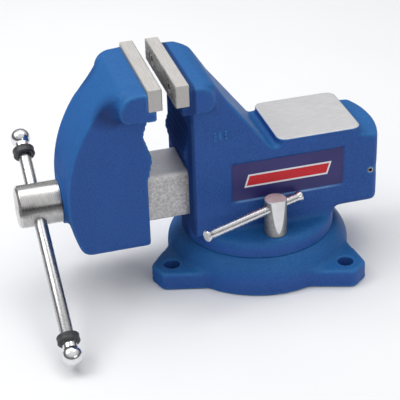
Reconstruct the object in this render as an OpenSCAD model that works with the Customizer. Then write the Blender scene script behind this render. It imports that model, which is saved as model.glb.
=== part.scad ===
// Swivel-base mechanic's bench vise with anvil, pipe jaws and two swivel locks.
// Origin: swivel axis at the underside of the base. +X towards the anvil, +Z up.

/* [Jaws] */
// Width of the jaw plates
jaw_w = 114.3; // [95:0.1:140]
// Thickness of a jaw plate
plate_t = 13.4; // [11:0.1:17]
// Height of a jaw plate
plate_h = 21.7; // [18:0.1:27]
// Height of the jaw plates' top edge above the bench
jaw_top = 224.5; // [205:0.5:270]
// Distance from the swivel axis to the fixed gripping face
jaw_reach = 95; // [90:0.5:115]
// Opening between the jaw plates as drawn
jaw_gap = 12.2; // [6:0.1:30]
// Depth of a jaw head behind its plate
head_d = 27.6; // [24:0.1:34]
// How far the casting stands above the bottom of the plate, behind it
head_drop = 3.8; // [2:0.1:6]
// Projection of the ledge below each plate
ledge_out = 7.9; // [5:0.1:9]
// Height of the ledge below each plate
ledge_h = 10.8; // [8:0.1:14]
// Diameter of a plate screw's thread
screw_d = 8; // [6:0.5:10]
// Distance between the two screws of a plate
screw_pitch = 64; // [50:1:72]

/* [Moving jaw] */
// Width of the hood
hood_w = 72; // [66:1:84]
// Depth of the hood from the plate's back to its front
hood_depth = 78.6; // [72:0.2:94]
// Height of the hood's underside above the bench
hood_bottom = 46; // [40:0.5:54]
// Width of the slide bar
slide_w = 54; // [45:0.5:60]
// Height of the slide bar
slide_h = 49.5; // [44:0.5:56]
// Length of the slide bar behind the moving plate
slide_len = 205.6; // [190:0.1:215]
// Width of the channel under the slide bar
channel_w = 33; // [32:0.5:36]
// Wall above the channel
slide_roof = 9.2; // [7:0.1:10]

/* [Screw] */
// Height of the screw's axis above the bench
spindle_z = 93.3; // [90:0.1:98]
// Thread's outer diameter
thread_d = 22; // [18:0.5:24]
// Diameter of the plain neck in the hood
neck_d = 24; // [24:0.1:27]
// Diameter of the screw's head
spindle_head_d = 42; // [36:0.1:51]
// Length of the screw's head
spindle_head_l = 42; // [34:0.5:50]
// Diameter of the handle bar
handle_d = 12.5; // [10:0.1:14]
// Distance from the screw's axis to the centre of the upper knob
handle_up = 79; // [65:0.5:95]
// Distance from the screw's axis to the centre of the lower knob
handle_down = 166; // [140:0.5:175]
// Diameter of a knob
knob_d = 20; // [18:0.5:24]
// Angle of the handle above the horizontal, as drawn
handle_tilt = 28; // [10:1:30]

/* [Fixed jaw] */
// Width of the body
body_w = 84; // [80:0.5:90]
// Width of the column below the jaw
column_w = 94; // [88:1:104]
// Height of the anvil above the bench
anvil_top = 143.5; // [138:0.5:150]
// Length of the anvil
anvil_l = 85.7; // [70:0.1:90]
// Width of the anvil
anvil_w = 83.4; // [70:0.1:83.6]
// Distance from the swivel axis to the body's rear corners
tail_x = 112; // [108:0.5:120]
// How far the rear face bulges beyond its corners
tail_bulge = 10; // [6:0.5:14]
// Height of the tail's underside above the bench
tail_bottom = 57; // [54:0.5:60]

/* [Swivel] */
// Radius of the base casting
base_r = 92.5; // [86:0.5:112]
// Height of the base casting
base_h = 34.7; // [33:0.1:38]
// Radius of the turntable on the body
flange_r = 77.4; // [76:0.1:84]
// Height of the turntable's flat top above the bench
flange_top = 51; // [48:0.5:54]
// Radius of the circle of lock bolts
lock_r = 60; // [59.5:0.1:62]
// Diameter of a lock bolt
stud_d = 12; // [10:0.1:14.5]
// Diameter of a lock nut
lock_nut_d = 22; // [20:0.5:24]
// Height of a lock nut
lock_nut_h = 38.6; // [34:0.2:44]
// Diameter of a lock bar
lock_bar_d = 9; // [7:0.1:10]
// Length of a lock bar's inner arm
lock_bar_in = 32; // [28:0.5:33]
// Length of a lock bar's outer arm
lock_bar_out = 85; // [60:0.5:90]
// Radius of the circle of bench bolt holes
ear_hole_r = 105; // [96:0.5:124]
// Diameter of a bench bolt hole
bench_hole_d = 16; // [11:0.5:18]
// Thickness of an ear
ear_t = 19; // [14:0.5:22]
// Direction of the front of the base, as drawn
base_turn = 253.3; // [0:0.1:360]

/* [Hidden] */

$fn = 96;
eps = 1;                       // how far a cutter reaches past the solid it cuts
running = 0.05;                // radial clearance of a shaft that turns or slides in a bore
sliding = 0.15;                // clearance between the slide bar and its bore, each side
face_gap = 0.3;                // clearance between faces of bodies that move past each other

// Jaw positions along X
fixed_face = -jaw_reach;
fixed_back = fixed_face + plate_t;
moving_face = fixed_face - jaw_gap;
moving_back = moving_face - plate_t;
plate_bottom = jaw_top - plate_h;
head_bottom = plate_bottom - ledge_h;
head_top = jaw_top - head_drop;
screw_z = plate_bottom + plate_h / 2;
screw_sink = 0.5;              // how far a plate screw's head lies below the gripping face
screw_play = 1;                // diametral play of a plate screw in its plate
screw_grip = 19;               // length of a plate screw behind its plate
hex_share = 0.72;              // a socket's width across corners, as a share of its screw's thread

// Slide bar and its channel
slide_top = spindle_z + slide_h / 2;
slide_floor = spindle_z - slide_h / 2;
slide_corner = 4;
hood_rear = moving_back + 1;
slide_end = moving_back + slide_len;
channel_top = slide_top - slide_roof;
channel_corner = 5;
hood_wall = 13;                // thickness of the hood's front wall at the screw

// Hood outline: one arc from the underside to the head
hood_front = moving_back - hood_depth;
hood_arc_z = spindle_z + 11.7;  // height of the hood's foremost point
hood_brow = 6.8;               // how far the arc stands before the head, at the height where it meets it
hood_brow_drop = 12;           // that height, below the top of the head
hood_arc_dx = hood_depth - head_d - hood_brow;
hood_arc_dz = head_top - hood_brow_drop - hood_arc_z;
hood_arc_r = (hood_arc_dx * hood_arc_dx + hood_arc_dz * hood_arc_dz) / (2 * hood_arc_dx);
hood_corner = 12;
hood_arc_x = hood_front + hood_arc_r;
hood_corner_z = hood_bottom + hood_corner;
hood_corner_x = hood_arc_x
    - sqrt(pow(hood_arc_r - hood_corner, 2) - pow(hood_arc_z - hood_corner_z, 2));
hood_tangent_z = hood_arc_z
    - (hood_arc_z - hood_corner_z) * hood_arc_r / (hood_arc_r - hood_corner);
head_crown_r = 118;            // radius of the crowned top of a jaw head
head_crown_x = 22.5;           // the crown's centre, before the plate's back
head_crown_up = 2;             // height of the crown above the top of the head, where it is cut flat
head_corner = 9;
head_corner_drop = 3;          // how far the front corner lies below the top of the head
hood_cove = 14;                // fillet between the hood's sides and its head
column_cove = 8;               // fillet between the column's sides and the fixed head

// Pipe jaws: a toothed V between the ledge and the lip
pipe_w = hood_w;
pipe_lip_out = 4.5;
pipe_lip_z = slide_top + 23;
pipe_deep_in = 3.5;
pipe_foot_z = slide_top + 3;
pipe_teeth = 5;                // teeth on each flank of the V
pipe_foot_teeth = 3;           // teeth below the V
pipe_tooth_h = 1.5;
pipe_skin = 0.5;               // how far a pad reaches behind the hollow that it fills

// Screw, collar and nut
boss_d = spindle_head_d + 4;
spindle_head_x = hood_front - 2;
boss_x = spindle_head_x + face_gap;
channel_front = hood_front + hood_wall;
collar_l = 10;
collar_d = channel_w - 2;
collar_x = channel_front + face_gap;
collar_pin_d = 5;
thread_end = slide_end - 3;
nut_l = 38;
nut_w = channel_w - 3;
nut_x = fixed_back + 27;
nut_top_r = channel_top - spindle_z - 1;
nut_bolt_d = 10;
nut_bolt_head_d = 16;
nut_bolt_head_h = 10;
nut_bolt_top = spindle_z - thread_d / 2 - 4;
head_chamfer = 2;

// Handle
handle_x = spindle_head_x - spindle_head_l / 2 - 2; // the cross hole is nearer the head's outer end
handle_fit = 0.1;
stub_d = 8;
stub_l = 9;
knob_neck_l = 3;
knob_neck_d = 14;
bumper_l = 8.5;
bumper_d = 22;

// Fixed jaw casting
column_inset = 2.6;            // how far the column stands back from the plate's back
column_front = fixed_back + column_inset;
column_taper = 43;             // length over which the column narrows to the body
fixed_head_d = head_d - 2;
fixed_head_w = column_w - (column_w - body_w) * (fixed_head_d - column_inset) / column_taper;
anvil_h = 7;                   // height of the anvil's pad above the shoulder
shoulder_z = anvil_top - anvil_h;
anvil_setback = 16.5;          // from the tail's corners to the anvil
anvil_x = tail_x - anvil_setback - anvil_l;
crown_flat = 18;               // length of the nearly flat top behind the fixed plate
ramp_top = [fixed_back + 27.5, head_top - 5];
ramp_bend = [fixed_back + 42.6, head_top - 28.5];
ramp_foot = [anvil_x - 6, shoulder_z];
anvil_corner = 9;
tail_top = anvil_top - 9.5;
tail_step = [tail_x - 15, tail_x - 12];
tail_foot_x = flange_r - 8;
tail_arc_r = (tail_bulge * tail_bulge + body_w * body_w / 4) / (2 * tail_bulge);
bore_floor = slide_floor - sliding;
column_foot_z = bore_floor - 18;
plug_x = slide_end + jaw_gap + 2;
plug_inset = 1.5;
tail_pin_d = 6;
tail_pin_bore = 3.6;
tail_pin_l = 24;
tail_pin_sink = 0.3;
tail_pin_x = tail_x - 6;
panel_x = -39;
panel_l = 117;
panel_z = spindle_z - 11;
panel_h = 43;
panel_depth = 1.6;
label_t = 0.6;
label_inset = 1.2;

// Swivel
pivot_d = 20;
pivot_floor = 10;
pivot_top = flange_top - 4;
flange_round = 7;
neck_inset = 3;
pad_r = 15;
pad_h = 1;
lock_seat = flange_top + pad_h;
slot_half = stud_d / 2 + 0.5;
tslot_half = stud_d + 0.5;
tslot_floor = base_h - 22.7;
tslot_roof = base_h - 12.7;
stud_head = 2 * tslot_half - 3;
stud_head_h = tslot_roof - tslot_floor - 2;
tslot_entry_r = norm([stud_head, stud_head]) / 2 + face_gap;
stud_top = lock_seat + 23;
lock_bar_z = lock_seat + lock_nut_h - 9;
lock_flat = 2.6;               // depth of the flat milled on a lock nut
lock_collar_h = 4;             // height of the round foot below that flat
lock_bar_turn = 21.5;
lock_bar_end_d = lock_bar_d + 2.4;
lock_bar_end_l = 6;
base_side_h = ear_t - 2;
base_rim_r = flange_r + 1.6;
ear_spread = 110.5;            // angle between the two front ears
ear_tip = ear_hole_r + 18;
ear_corner = 8;
ear_tip_half = 7;
ear_flare = 33;                // angle of an ear's sides to its own axis
ear_root = base_r * 0.85;

// ---------------------------------------------------------------- helpers

// Extrude an XZ outline along Y, centred on Y = 0
module across(width) {
    rotate([90, 0, 0])
        linear_extrude(width, center = true)
            children();
}

// Extrude a YZ outline along X, from x0 to x1
module along(x0, x1) {
    translate([x0, 0, 0])
        rotate([90, 0, 90])
            linear_extrude(x1 - x0)
                children();
}

// Round bar on the screw's axis, from x0 to x1
module on_axis(d, x0, x1) {
    translate([x0, 0, spindle_z])
        rotate([0, 90, 0])
            cylinder(d = d, h = x1 - x0);
}

// Rectangle with true round corners, from its low corner
module round_rect(w, h, r) {
    translate([r, 0])
        square([w - 2 * r, h]);
    translate([0, r])
        square([w, h - 2 * r]);
    for (x = [r, w - r], y = [r, h - r])
        translate([x, y])
            circle(r);
}

// Rounded rectangle centred on Y, standing on z0, as a YZ outline
module bar_section(w, z0, z1, r) {
    translate([-w / 2, z0])
        round_rect(w, z1 - z0, r);
}

// Points along a flank from a to b with saw teeth standing out to its left
function teeth(a, b, n, h) =
    let (step = (b - a) / n, out = [-step[1], step[0]] * h / norm(step))
    [for (i = [0 : n - 1]) each [a + step * i, a + step * (i + 0.5) + out]];

// Puts children on the handle's axis, +Z towards the upper knob
module handle_frame() {
    translate([handle_x, 0, spindle_z])
        rotate([handle_tilt - 90, 0, 0])
            children();
}

// Puts children on the near (-1) or far (+1) lock's axis
module lock_frame(side) {
    rotate([0, 0, side < 0 ? 0 : 180])
        translate([0, -lock_r, 0])
            children();
}

// ---------------------------------------------------------------- jaw plates

// The two screws of a plate, head towards +X, seated at the origin's plane
module screw_pair(extra, head_sink) {
    for (y = [-screw_pitch / 2, screw_pitch / 2])
        translate([0, y, screw_z])
            rotate([0, -90, 0]) {
                translate([0, 0, head_sink])
                    cylinder(d1 = 2 * screw_d, d2 = screw_d + extra, h = screw_d / 2);
                if (head_sink > 0)
                    translate([0, 0, -eps])
                        cylinder(d = 2 * screw_d, h = head_sink + eps);
                translate([0, 0, head_sink])
                    cylinder(d = screw_d + extra, h = plate_t + eps - head_sink);
            }
}

module jaw_plate() {
    color("silver")
    difference() {
        translate([-plate_t, -jaw_w / 2, plate_bottom])
            cube([plate_t, jaw_w, plate_h]);
        screw_pair(screw_play, screw_sink);
    }
}

module plate_screws() {
    color("dimgray")
    for (y = [-screw_pitch / 2, screw_pitch / 2])
        translate([-screw_sink, y, screw_z])
            rotate([0, -90, 0])
                difference() {
                    union() {
                        cylinder(d1 = 2 * screw_d, d2 = screw_d, h = screw_d / 2);
                        cylinder(d = screw_d, h = plate_t + screw_grip - screw_sink);
                    }
                    translate([0, 0, -eps])
                        cylinder(d = screw_d * hex_share, h = eps + screw_d / 2, $fn = 6);
                }
}

module screw_holes() {
    for (y = [-screw_pitch / 2, screw_pitch / 2])
        translate([0, y, screw_z])
            rotate([0, -90, 0])
                cylinder(d = screw_d, h = plate_t + screw_grip + eps);
}

// Moves a plate drawn for the moving jaw to either jaw
module at_moving_jaw() {
    translate([moving_face, 0, 0])
        children();
}

module at_fixed_jaw() {
    translate([fixed_face, 0, 0])
        mirror([1, 0, 0])
            children();
}

// ---------------------------------------------------------------- jaw heads

// Shapes of the gripping side, drawn for the moving jaw with the plate's back at X = 0.

// Side outline of the moving jaw's head, with a crowned top and rounded front corners
module head_outline(depth) {
    intersection() {
        translate([-depth, head_bottom])
            union() {
                translate([head_corner, 0])
                    square([depth - head_corner, head_top - head_bottom]);
                translate([0, head_corner])
                    square([depth, head_top - head_bottom - 2 * head_corner - head_corner_drop]);
                translate([head_corner, head_corner])
                    circle(head_corner);
                translate([head_corner, head_top - head_bottom - head_corner - head_corner_drop])
                    circle(head_corner);
            }
        translate([head_crown_x, head_top - head_crown_r + head_crown_up])
            circle(head_crown_r, $fn = 180);
    }
}

// Concave quarter-round that fills the corner at the origin
module cove(r) {
    difference() {
        square(r);
        translate([r, r])
            circle(r);
    }
}

// Outline that is narrow from a to the edge and as wide as the jaw from the edge to b,
// along the first axis, with coves in the two inner corners
module spread(narrow, a, edge, b, r) {
    translate([a, -narrow / 2])
        square([b - a, narrow]);
    translate([edge, -jaw_w / 2])
        square([b - edge, jaw_w]);
    for (s = [0, 1])
        mirror([0, s])
            translate([edge, narrow / 2])
                mirror([1, 0])
                    cove(r);
}

// Ledge under a plate, plate's back at X = 0
module ledge() {
    translate([-eps, -jaw_w / 2, head_bottom])
        cube([ledge_out + eps, jaw_w, ledge_h]);
}

// Pipe jaw with its V, plate's back at X = 0 and the casting's face at X = -face_in
module pipe_pad(face_in) {
    foot = [-face_in, pipe_foot_z];
    lip = [pipe_lip_out - face_in, pipe_lip_z];
    deep = [-face_in - pipe_deep_in, (pipe_lip_z + head_bottom) / 2];
    brow = [pipe_lip_out - face_in, head_bottom + eps];
    back = -face_in - 2 * pipe_deep_in;
    across(pipe_w)
        polygon(concat(
            [[back, pipe_foot_z], foot],
            teeth(foot, lip, pipe_foot_teeth, -pipe_tooth_h),
            teeth(lip, deep, pipe_teeth, -pipe_tooth_h),
            teeth(deep, brow, pipe_teeth, -pipe_tooth_h),
            [brow, [back, head_bottom + eps]]));
}

// The hollow behind the V that the pad's own teeth then fill
module pipe_recess(face_in) {
    across(pipe_w)
        polygon([
            [-face_in + eps, pipe_foot_z],
            [-face_in + eps, head_bottom],
            [-face_in - 2 * pipe_deep_in + pipe_skin, head_bottom],
            [-face_in - 2 * pipe_deep_in + pipe_skin, pipe_foot_z]]);
}

// ---------------------------------------------------------------- moving jaw

module hood_outline() {
    intersection() {
        translate([hood_arc_x, hood_arc_z])
            circle(hood_arc_r, $fn = 240);
        union() {
            translate([hood_front - eps, hood_tangent_z])
                square([moving_back - hood_front + eps, head_top - hood_tangent_z]);
            translate([hood_front - eps, hood_tangent_z])
                square([hood_rear - hood_front + eps, head_bottom + eps - hood_tangent_z]);
            translate([hood_corner_x, hood_bottom])
                square([hood_rear - hood_corner_x, hood_corner + eps]);
            translate([hood_corner_x, hood_corner_z])
                circle(hood_corner);
        }
    }
}

// The hood and its head: the side outline, narrowed to the hood's width except at the head,
// which coves spread from the hood's sides both from above and from the front
module hood() {
    head_x = moving_back - head_d;
    intersection() {
        across(jaw_w)
            union() {
                hood_outline();
                translate([moving_back, 0])
                    head_outline(head_d);
            }
        translate([0, 0, hood_bottom - eps])
            linear_extrude(jaw_top - hood_bottom)
                spread(hood_w, hood_front - eps, head_x, moving_back + 2 * eps, hood_cove);
        along(hood_front - eps, moving_back + 2 * eps)
            rotate(90)
                spread(hood_w, hood_bottom - eps, head_bottom, jaw_top, hood_cove);
    }
}

module dynamic_jaw() {
    color("royalblue")
    difference() {
        union() {
            hood();
            translate([moving_back, 0, 0])
                ledge();
            along(hood_rear - hood_wall, slide_end)
                bar_section(slide_w, slide_floor, slide_top, slide_corner);
            on_axis(boss_d, boss_x, channel_front);
            translate([moving_back, 0, 0])
                pipe_pad(-1);
        }
        difference() {
            translate([moving_back, 0, 0])
                pipe_recess(-1);
            translate([moving_back, 0, 0])
                pipe_pad(-1);
        }
        along(channel_front, slide_end + eps)
            bar_section(channel_w, hood_bottom - hood_wall, channel_top, channel_corner);
        on_axis(neck_d + 2 * running, boss_x - eps, channel_front + eps);
        at_moving_jaw()
            screw_holes();
    }
}

module dynamic_jaw_plate() {
    at_moving_jaw()
        jaw_plate();
}

module dynamic_plate_screws() {
    at_moving_jaw()
        plate_screws();
}

// ---------------------------------------------------------------- screw and handle

module spindle() {
    color("silver")
    difference() {
        union() {
            on_axis(spindle_head_d, spindle_head_x - spindle_head_l + head_chamfer, spindle_head_x);
            translate([spindle_head_x - spindle_head_l, 0, spindle_z])
                rotate([0, 90, 0])
                    cylinder(
                        d1 = spindle_head_d - 2 * head_chamfer,
                        d2 = spindle_head_d,
                        h = head_chamfer);
            on_axis(neck_d, spindle_head_x - eps, collar_x);
            on_axis(thread_d, collar_x - eps, thread_end);
        }
        handle_frame()
            cylinder(d = handle_d + 2 * handle_fit, h = spindle_head_d + 2, center = true);
        translate([collar_x + collar_l / 2, 0, spindle_z])
            cylinder(d = collar_pin_d, h = collar_d + 2, center = true);
    }
}

module retaining_collar() {
    color("dimgray")
    difference() {
        on_axis(collar_d, collar_x, collar_x + collar_l);
        on_axis(thread_d, collar_x - eps, collar_x + collar_l + eps);
        translate([collar_x + collar_l / 2, 0, spindle_z])
            cylinder(d = collar_pin_d, h = collar_d + 2, center = true);
    }
}

module collar_pin() {
    color("gray")
    translate([collar_x + collar_l / 2, 0, spindle_z])
        cylinder(d = collar_pin_d, h = collar_d - 2, center = true);
}

module handle_bar() {
    color("silver")
    handle_frame() {
        up = handle_up - knob_d / 2 - knob_neck_l;
        down = handle_down - knob_d / 2 - knob_neck_l;
        translate([0, 0, -down])
            cylinder(d = handle_d, h = up + down);
        translate([0, 0, -down - stub_l])
            cylinder(d = stub_d, h = up + down + 2 * stub_l);
    }
}

// A knob seen from its own neck: the neck starts at Z = 0 and the ball is beyond it
module knob() {
    color("gainsboro")
    difference() {
        union() {
            translate([0, 0, knob_neck_l + knob_d / 2])
                sphere(d = knob_d);
            cylinder(d = knob_neck_d, h = knob_neck_l + 3);
        }
        translate([0, 0, -eps])
            cylinder(d = stub_d, h = stub_l + eps);
    }
}

module handle_knob_upper() {
    handle_frame()
        translate([0, 0, handle_up - knob_d / 2 - knob_neck_l])
            knob();
}

module handle_knob_lower() {
    handle_frame()
        mirror([0, 0, 1])
            translate([0, 0, handle_down - knob_d / 2 - knob_neck_l])
                knob();
}

module bumper() {
    color([0.12, 0.12, 0.13])
    difference() {
        cylinder(d = bumper_d, h = bumper_l);
        translate([0, 0, -eps])
            cylinder(d = handle_d, h = bumper_l + 2 * eps);
    }
}

module handle_bumper_upper() {
    handle_frame()
        translate([0, 0, handle_up - knob_d / 2 - knob_neck_l - bumper_l])
            bumper();
}

module handle_bumper_lower() {
    handle_frame()
        mirror([0, 0, 1])
            translate([0, 0, handle_down - knob_d / 2 - knob_neck_l - bumper_l])
                bumper();
}

// ---------------------------------------------------------------- fixed jaw

// Side of the body: column, jaw head, ramp down to the shoulder, and tail
module body_outline() {
    polygon([
        [column_front, column_foot_z],
        [column_front, head_bottom],
        [fixed_back, head_bottom],
        [fixed_back, head_top],
        [fixed_back + crown_flat, head_top - 1],
        ramp_top,
        ramp_bend,
        ramp_foot,
        [tail_step[0], shoulder_z],
        [tail_step[1], tail_top],
        [tail_x + tail_bulge, tail_top],
        [tail_x + tail_bulge, tail_bottom],
        [tail_foot_x, tail_bottom],
        [tail_foot_x, column_foot_z]]);
}

// The body seen from above: column, straight sides and the bulged rear
module body_plan() {
    intersection() {
        polygon([
            [column_front, -column_w / 2],
            [column_front + column_taper, -body_w / 2],
            [tail_x + tail_bulge, -body_w / 2],
            [tail_x + tail_bulge, body_w / 2],
            [column_front + column_taper, body_w / 2],
            [column_front, column_w / 2]]);
        translate([tail_x + tail_bulge - tail_arc_r, 0])
            union() {
                circle(tail_arc_r, $fn = 180);
                translate([-3 * tail_arc_r, -tail_arc_r])
                    square([3 * tail_arc_r, 2 * tail_arc_r]);
            }
    }
}

module anvil_pad() {
    translate([anvil_x, -anvil_w / 2, shoulder_z - eps])
        linear_extrude(anvil_top - shoulder_z + eps)
            round_rect(anvil_l, anvil_w, anvil_corner);
}

// Turntable, a disc with a rounded upper rim, and the pads under the lock nuts
module turntable() {
    flat_r = flange_r - flange_round;
    round_z = flange_top - flange_round;
    rotate_extrude() {
        translate([0, base_h])
            square([flange_r, round_z - base_h]);
        translate([0, base_h])
            square([flat_r, flange_top - base_h]);
        translate([flat_r, round_z])
            intersection() {
                circle(flange_round);
                square(flange_round);
            }
    }
    for (side = [-1, 1])
        lock_frame(side)
            translate([0, 0, base_h])
                cylinder(r = pad_r, h = lock_seat - base_h);
}

// Neck between the turntable and the body
module neck() {
    translate([0, 0, base_h])
        linear_extrude(bore_floor - base_h)
            intersection() {
                circle(flange_r - neck_inset);
                body_plan();
            }
}

module label_recess() {
    for (s = [-1, 1])
        translate([panel_x, s * body_w / 2, panel_z])
            rotate([90, 0, 0])
                linear_extrude(2 * panel_depth, center = true)
                    round_rect(panel_l, panel_h, 2);
}

// Column, body and tail as one block, and the wide head that coves spread from it
module body_block() {
    intersection() {
        across(column_w)
            body_outline();
        translate([0, 0, base_h])
            linear_extrude(jaw_top)
                body_plan();
    }
    intersection() {
        across(jaw_w)
            body_outline();
        translate([fixed_back, 0, base_h])
            mirror([1, 0, 0])
                linear_extrude(jaw_top)
                    spread(fixed_head_w, -fixed_head_d - column_cove, -fixed_head_d, eps, column_cove);
        along(fixed_back - eps, fixed_back + fixed_head_d + column_cove)
            rotate(90)
                spread(fixed_head_w, head_bottom - column_cove, head_bottom, jaw_top, column_cove);
    }
}

module static_jaw() {
    color("royalblue")
    difference() {
        union() {
            body_block();
            translate([fixed_back, 0, 0])
                mirror([1, 0, 0]) {
                    ledge();
                    pipe_pad(column_front - fixed_back);
                }
            anvil_pad();
            turntable();
            neck();
        }
        translate([fixed_back, 0, 0])
            mirror([1, 0, 0])
                difference() {
                    pipe_recess(column_front - fixed_back);
                    pipe_pad(column_front - fixed_back);
                }
        along(column_front - 2 * eps, tail_x + tail_bulge + eps)
            bar_section(slide_w + 2 * sliding, bore_floor, slide_top + sliding, slide_corner);
        at_fixed_jaw()
            screw_holes();
        translate([0, 0, base_h - eps])
            cylinder(d = pivot_d + 2 * running, h = pivot_top + 1 - base_h + eps);
        for (side = [-1, 1])
            lock_frame(side)
                translate([0, 0, base_h - eps])
                    cylinder(d = stud_d, h = lock_seat - base_h + 2 * eps);
        nut_bolt_hole();
        for (s = [-1, 1])
            translate([tail_pin_x, s * (body_w / 2 - tail_pin_l), spindle_z])
                rotate([-s * 90, 0, 0])
                    cylinder(d = tail_pin_d, h = tail_pin_l + eps);
        label_recess();
    }
}

module static_jaw_plate() {
    at_fixed_jaw()
        jaw_plate();
}

module static_plate_screws() {
    at_fixed_jaw()
        plate_screws();
}

module nut_bolt_hole() {
    translate([nut_x + nut_l / 2, 0, base_h - eps]) {
        cylinder(d = nut_bolt_d, h = bore_floor - base_h + 3 * eps);
        cylinder(d = nut_bolt_head_d + 1, h = nut_bolt_head_h + 1 + eps);
    }
}

module spindle_nut() {
    color("darkgoldenrod")
    difference() {
        along(nut_x, nut_x + nut_l) {
            translate([0, spindle_z])
                circle(nut_top_r);
            translate([-nut_w / 2, bore_floor])
                square([nut_w, spindle_z - bore_floor]);
        }
        on_axis(thread_d + 2 * running, nut_x - eps, nut_x + nut_l + eps);
        translate([nut_x + nut_l / 2, 0, bore_floor - eps])
            cylinder(d = nut_bolt_d, h = nut_bolt_top + 1 - bore_floor + eps);
    }
}

module nut_bolt() {
    color("dimgray")
    translate([nut_x + nut_l / 2, 0, base_h + 1]) {
        difference() {
            cylinder(d = nut_bolt_head_d, h = nut_bolt_head_h);
            translate([0, 0, -eps])
                cylinder(d = nut_bolt_d * hex_share, h = nut_bolt_head_h / 2 + eps, $fn = 6);
        }
        translate([0, 0, nut_bolt_head_h - eps])
            cylinder(d = nut_bolt_d, h = nut_bolt_top - base_h - nut_bolt_head_h);
    }
}

module tail_plug() {
    color("royalblue")
    difference() {
        intersection() {
            along(plug_x, tail_x + tail_bulge)
                bar_section(slide_w + 2 * sliding, bore_floor, slide_top + sliding, slide_corner);
            translate([tail_x + tail_bulge - tail_arc_r, 0, 0])
                cylinder(r = tail_arc_r - plug_inset, h = jaw_top, $fn = 180);
        }
        for (s = [-1, 1])
            translate([tail_pin_x, s * (body_w / 2 - tail_pin_l), spindle_z])
                rotate([-s * 90, 0, 0])
                    cylinder(d = tail_pin_d, h = tail_pin_l + eps);
    }
}

module tail_pins() {
    color("gray")
    for (s = [-1, 1])
        translate([tail_pin_x, s * (body_w / 2 - tail_pin_l), spindle_z])
            rotate([-s * 90, 0, 0])
                difference() {
                    cylinder(d = tail_pin_d, h = tail_pin_l - tail_pin_sink);
                    translate([0, 0, -eps])
                        cylinder(d = tail_pin_bore, h = tail_pin_l + 2 * eps);
                }
}

module nameplate() {
    color("midnightblue")
    translate([panel_x + label_inset, -body_w / 2 + panel_depth, panel_z + label_inset])
        rotate([90, 0, 0])
            linear_extrude(label_t)
                round_rect(panel_l - 2 * label_inset, panel_h - 2 * label_inset, 2);
}

// ---------------------------------------------------------------- swivel base and locks

module ear_outline() {
    c = [ear_tip - ear_corner, ear_tip_half];
    t = [c[0] + ear_corner * sin(ear_flare), c[1] + ear_corner * cos(ear_flare)];
    root = [ear_root, t[1] + (t[0] - ear_root) * tan(ear_flare)];
    polygon([
        [0, 0], [root[0], -root[1]], [t[0], -t[1]], [c[0], -c[1]], [ear_tip, -c[1]],
        [ear_tip, c[1]], c, t, root]);
    for (s = [-1, 1])
        translate([c[0], s * c[1]])
            circle(ear_corner);
}

// Directions of the three ears
ear_angles = [base_turn - ear_spread / 2, base_turn + ear_spread / 2, base_turn + 180];

module swivel_base() {
    color("royalblue")
    difference() {
        union() {
            rotate_extrude()
                polygon([
                    [0, 0], [base_r, 0], [base_r, base_side_h], [base_r - 3, base_side_h + 7],
                    [base_rim_r + 4, base_h - 3], [base_rim_r, base_h], [0, base_h]]);
            for (a = ear_angles)
                rotate([0, 0, a])
                    linear_extrude(ear_t)
                        ear_outline();
        }
        for (a = ear_angles)
            rotate([0, 0, a])
                translate([ear_hole_r, 0, -eps])
                    cylinder(d = bench_hole_d, h = ear_t + 2 * eps);
        translate([0, 0, pivot_floor])
            cylinder(d = pivot_d, h = base_h);
        rotate_extrude() {
            translate([lock_r - slot_half, tslot_roof - eps])
                square([2 * slot_half, base_h]);
            translate([lock_r - tslot_half, tslot_floor])
                square([2 * tslot_half, tslot_roof - tslot_floor]);
        }
        translate([lock_r, 0, tslot_floor])
            cylinder(r = tslot_entry_r, h = base_h);
    }
}

module pivot_pin() {
    color("gray")
    translate([0, 0, pivot_floor])
        cylinder(d = pivot_d, h = pivot_top - pivot_floor);
}

module lock_bolt(side) {
    color("dimgray")
    lock_frame(side) {
        translate([-stud_head / 2, -stud_head / 2, tslot_roof - stud_head_h - face_gap])
            cube([stud_head, stud_head, stud_head_h]);
        translate([0, 0, tslot_roof - face_gap - eps])
            cylinder(d = stud_d, h = stud_top - tslot_roof + face_gap + eps);
    }
}

module lock_nut(side) {
    color("silver")
    lock_frame(side)
        difference() {
            translate([0, 0, lock_seat])
                cylinder(d = lock_nut_d, h = lock_nut_h);
            translate([0, 0, lock_seat - eps])
                cylinder(d = stud_d + 2 * running, h = stud_top + 1 - lock_seat + eps);
            translate([0, 0, lock_bar_z])
                rotate([0, 90, lock_bar_turn])
                    cylinder(d = lock_bar_d + 2 * handle_fit, h = lock_nut_d + 2, center = true);
            translate([-lock_nut_d, -lock_nut_d / 2 - eps, lock_seat + lock_collar_h])
                cube([2 * lock_nut_d, lock_flat + eps, lock_nut_h]);
        }
}

module lock_bar(side) {
    color("silver")
    lock_frame(side)
        translate([0, 0, lock_bar_z])
            rotate([0, 0, lock_bar_turn])
                rotate([0, 90, 0]) {
                    translate([0, 0, -lock_bar_out])
                        cylinder(d = lock_bar_d, h = lock_bar_out + lock_bar_in);
                    translate([0, 0, -lock_bar_out])
                        cylinder(d = lock_bar_end_d, h = lock_bar_end_l);
                    translate([0, 0, lock_bar_in - lock_bar_end_l])
                        cylinder(d = lock_bar_end_d, h = lock_bar_end_l);
                }
}

// ---------------------------------------------------------------- nodes

swivel_base();
pivot_pin();
static_jaw();
static_jaw_plate();
static_plate_screws();
spindle_nut();
nut_bolt();
tail_plug();
tail_pins();
nameplate();
lock_bolt(-1);  // lock_bolt_near
lock_bolt(1);  // lock_bolt_far
lock_nut(-1);  // lock_nut_near
lock_nut(1);  // lock_nut_far
lock_bar(-1);  // lock_bar_near
lock_bar(1);  // lock_bar_far
dynamic_jaw();
dynamic_jaw_plate();
dynamic_plate_screws();
spindle();
retaining_collar();
collar_pin();
handle_bar();
handle_knob_upper();
handle_knob_lower();
handle_bumper_upper();
handle_bumper_lower();
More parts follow.
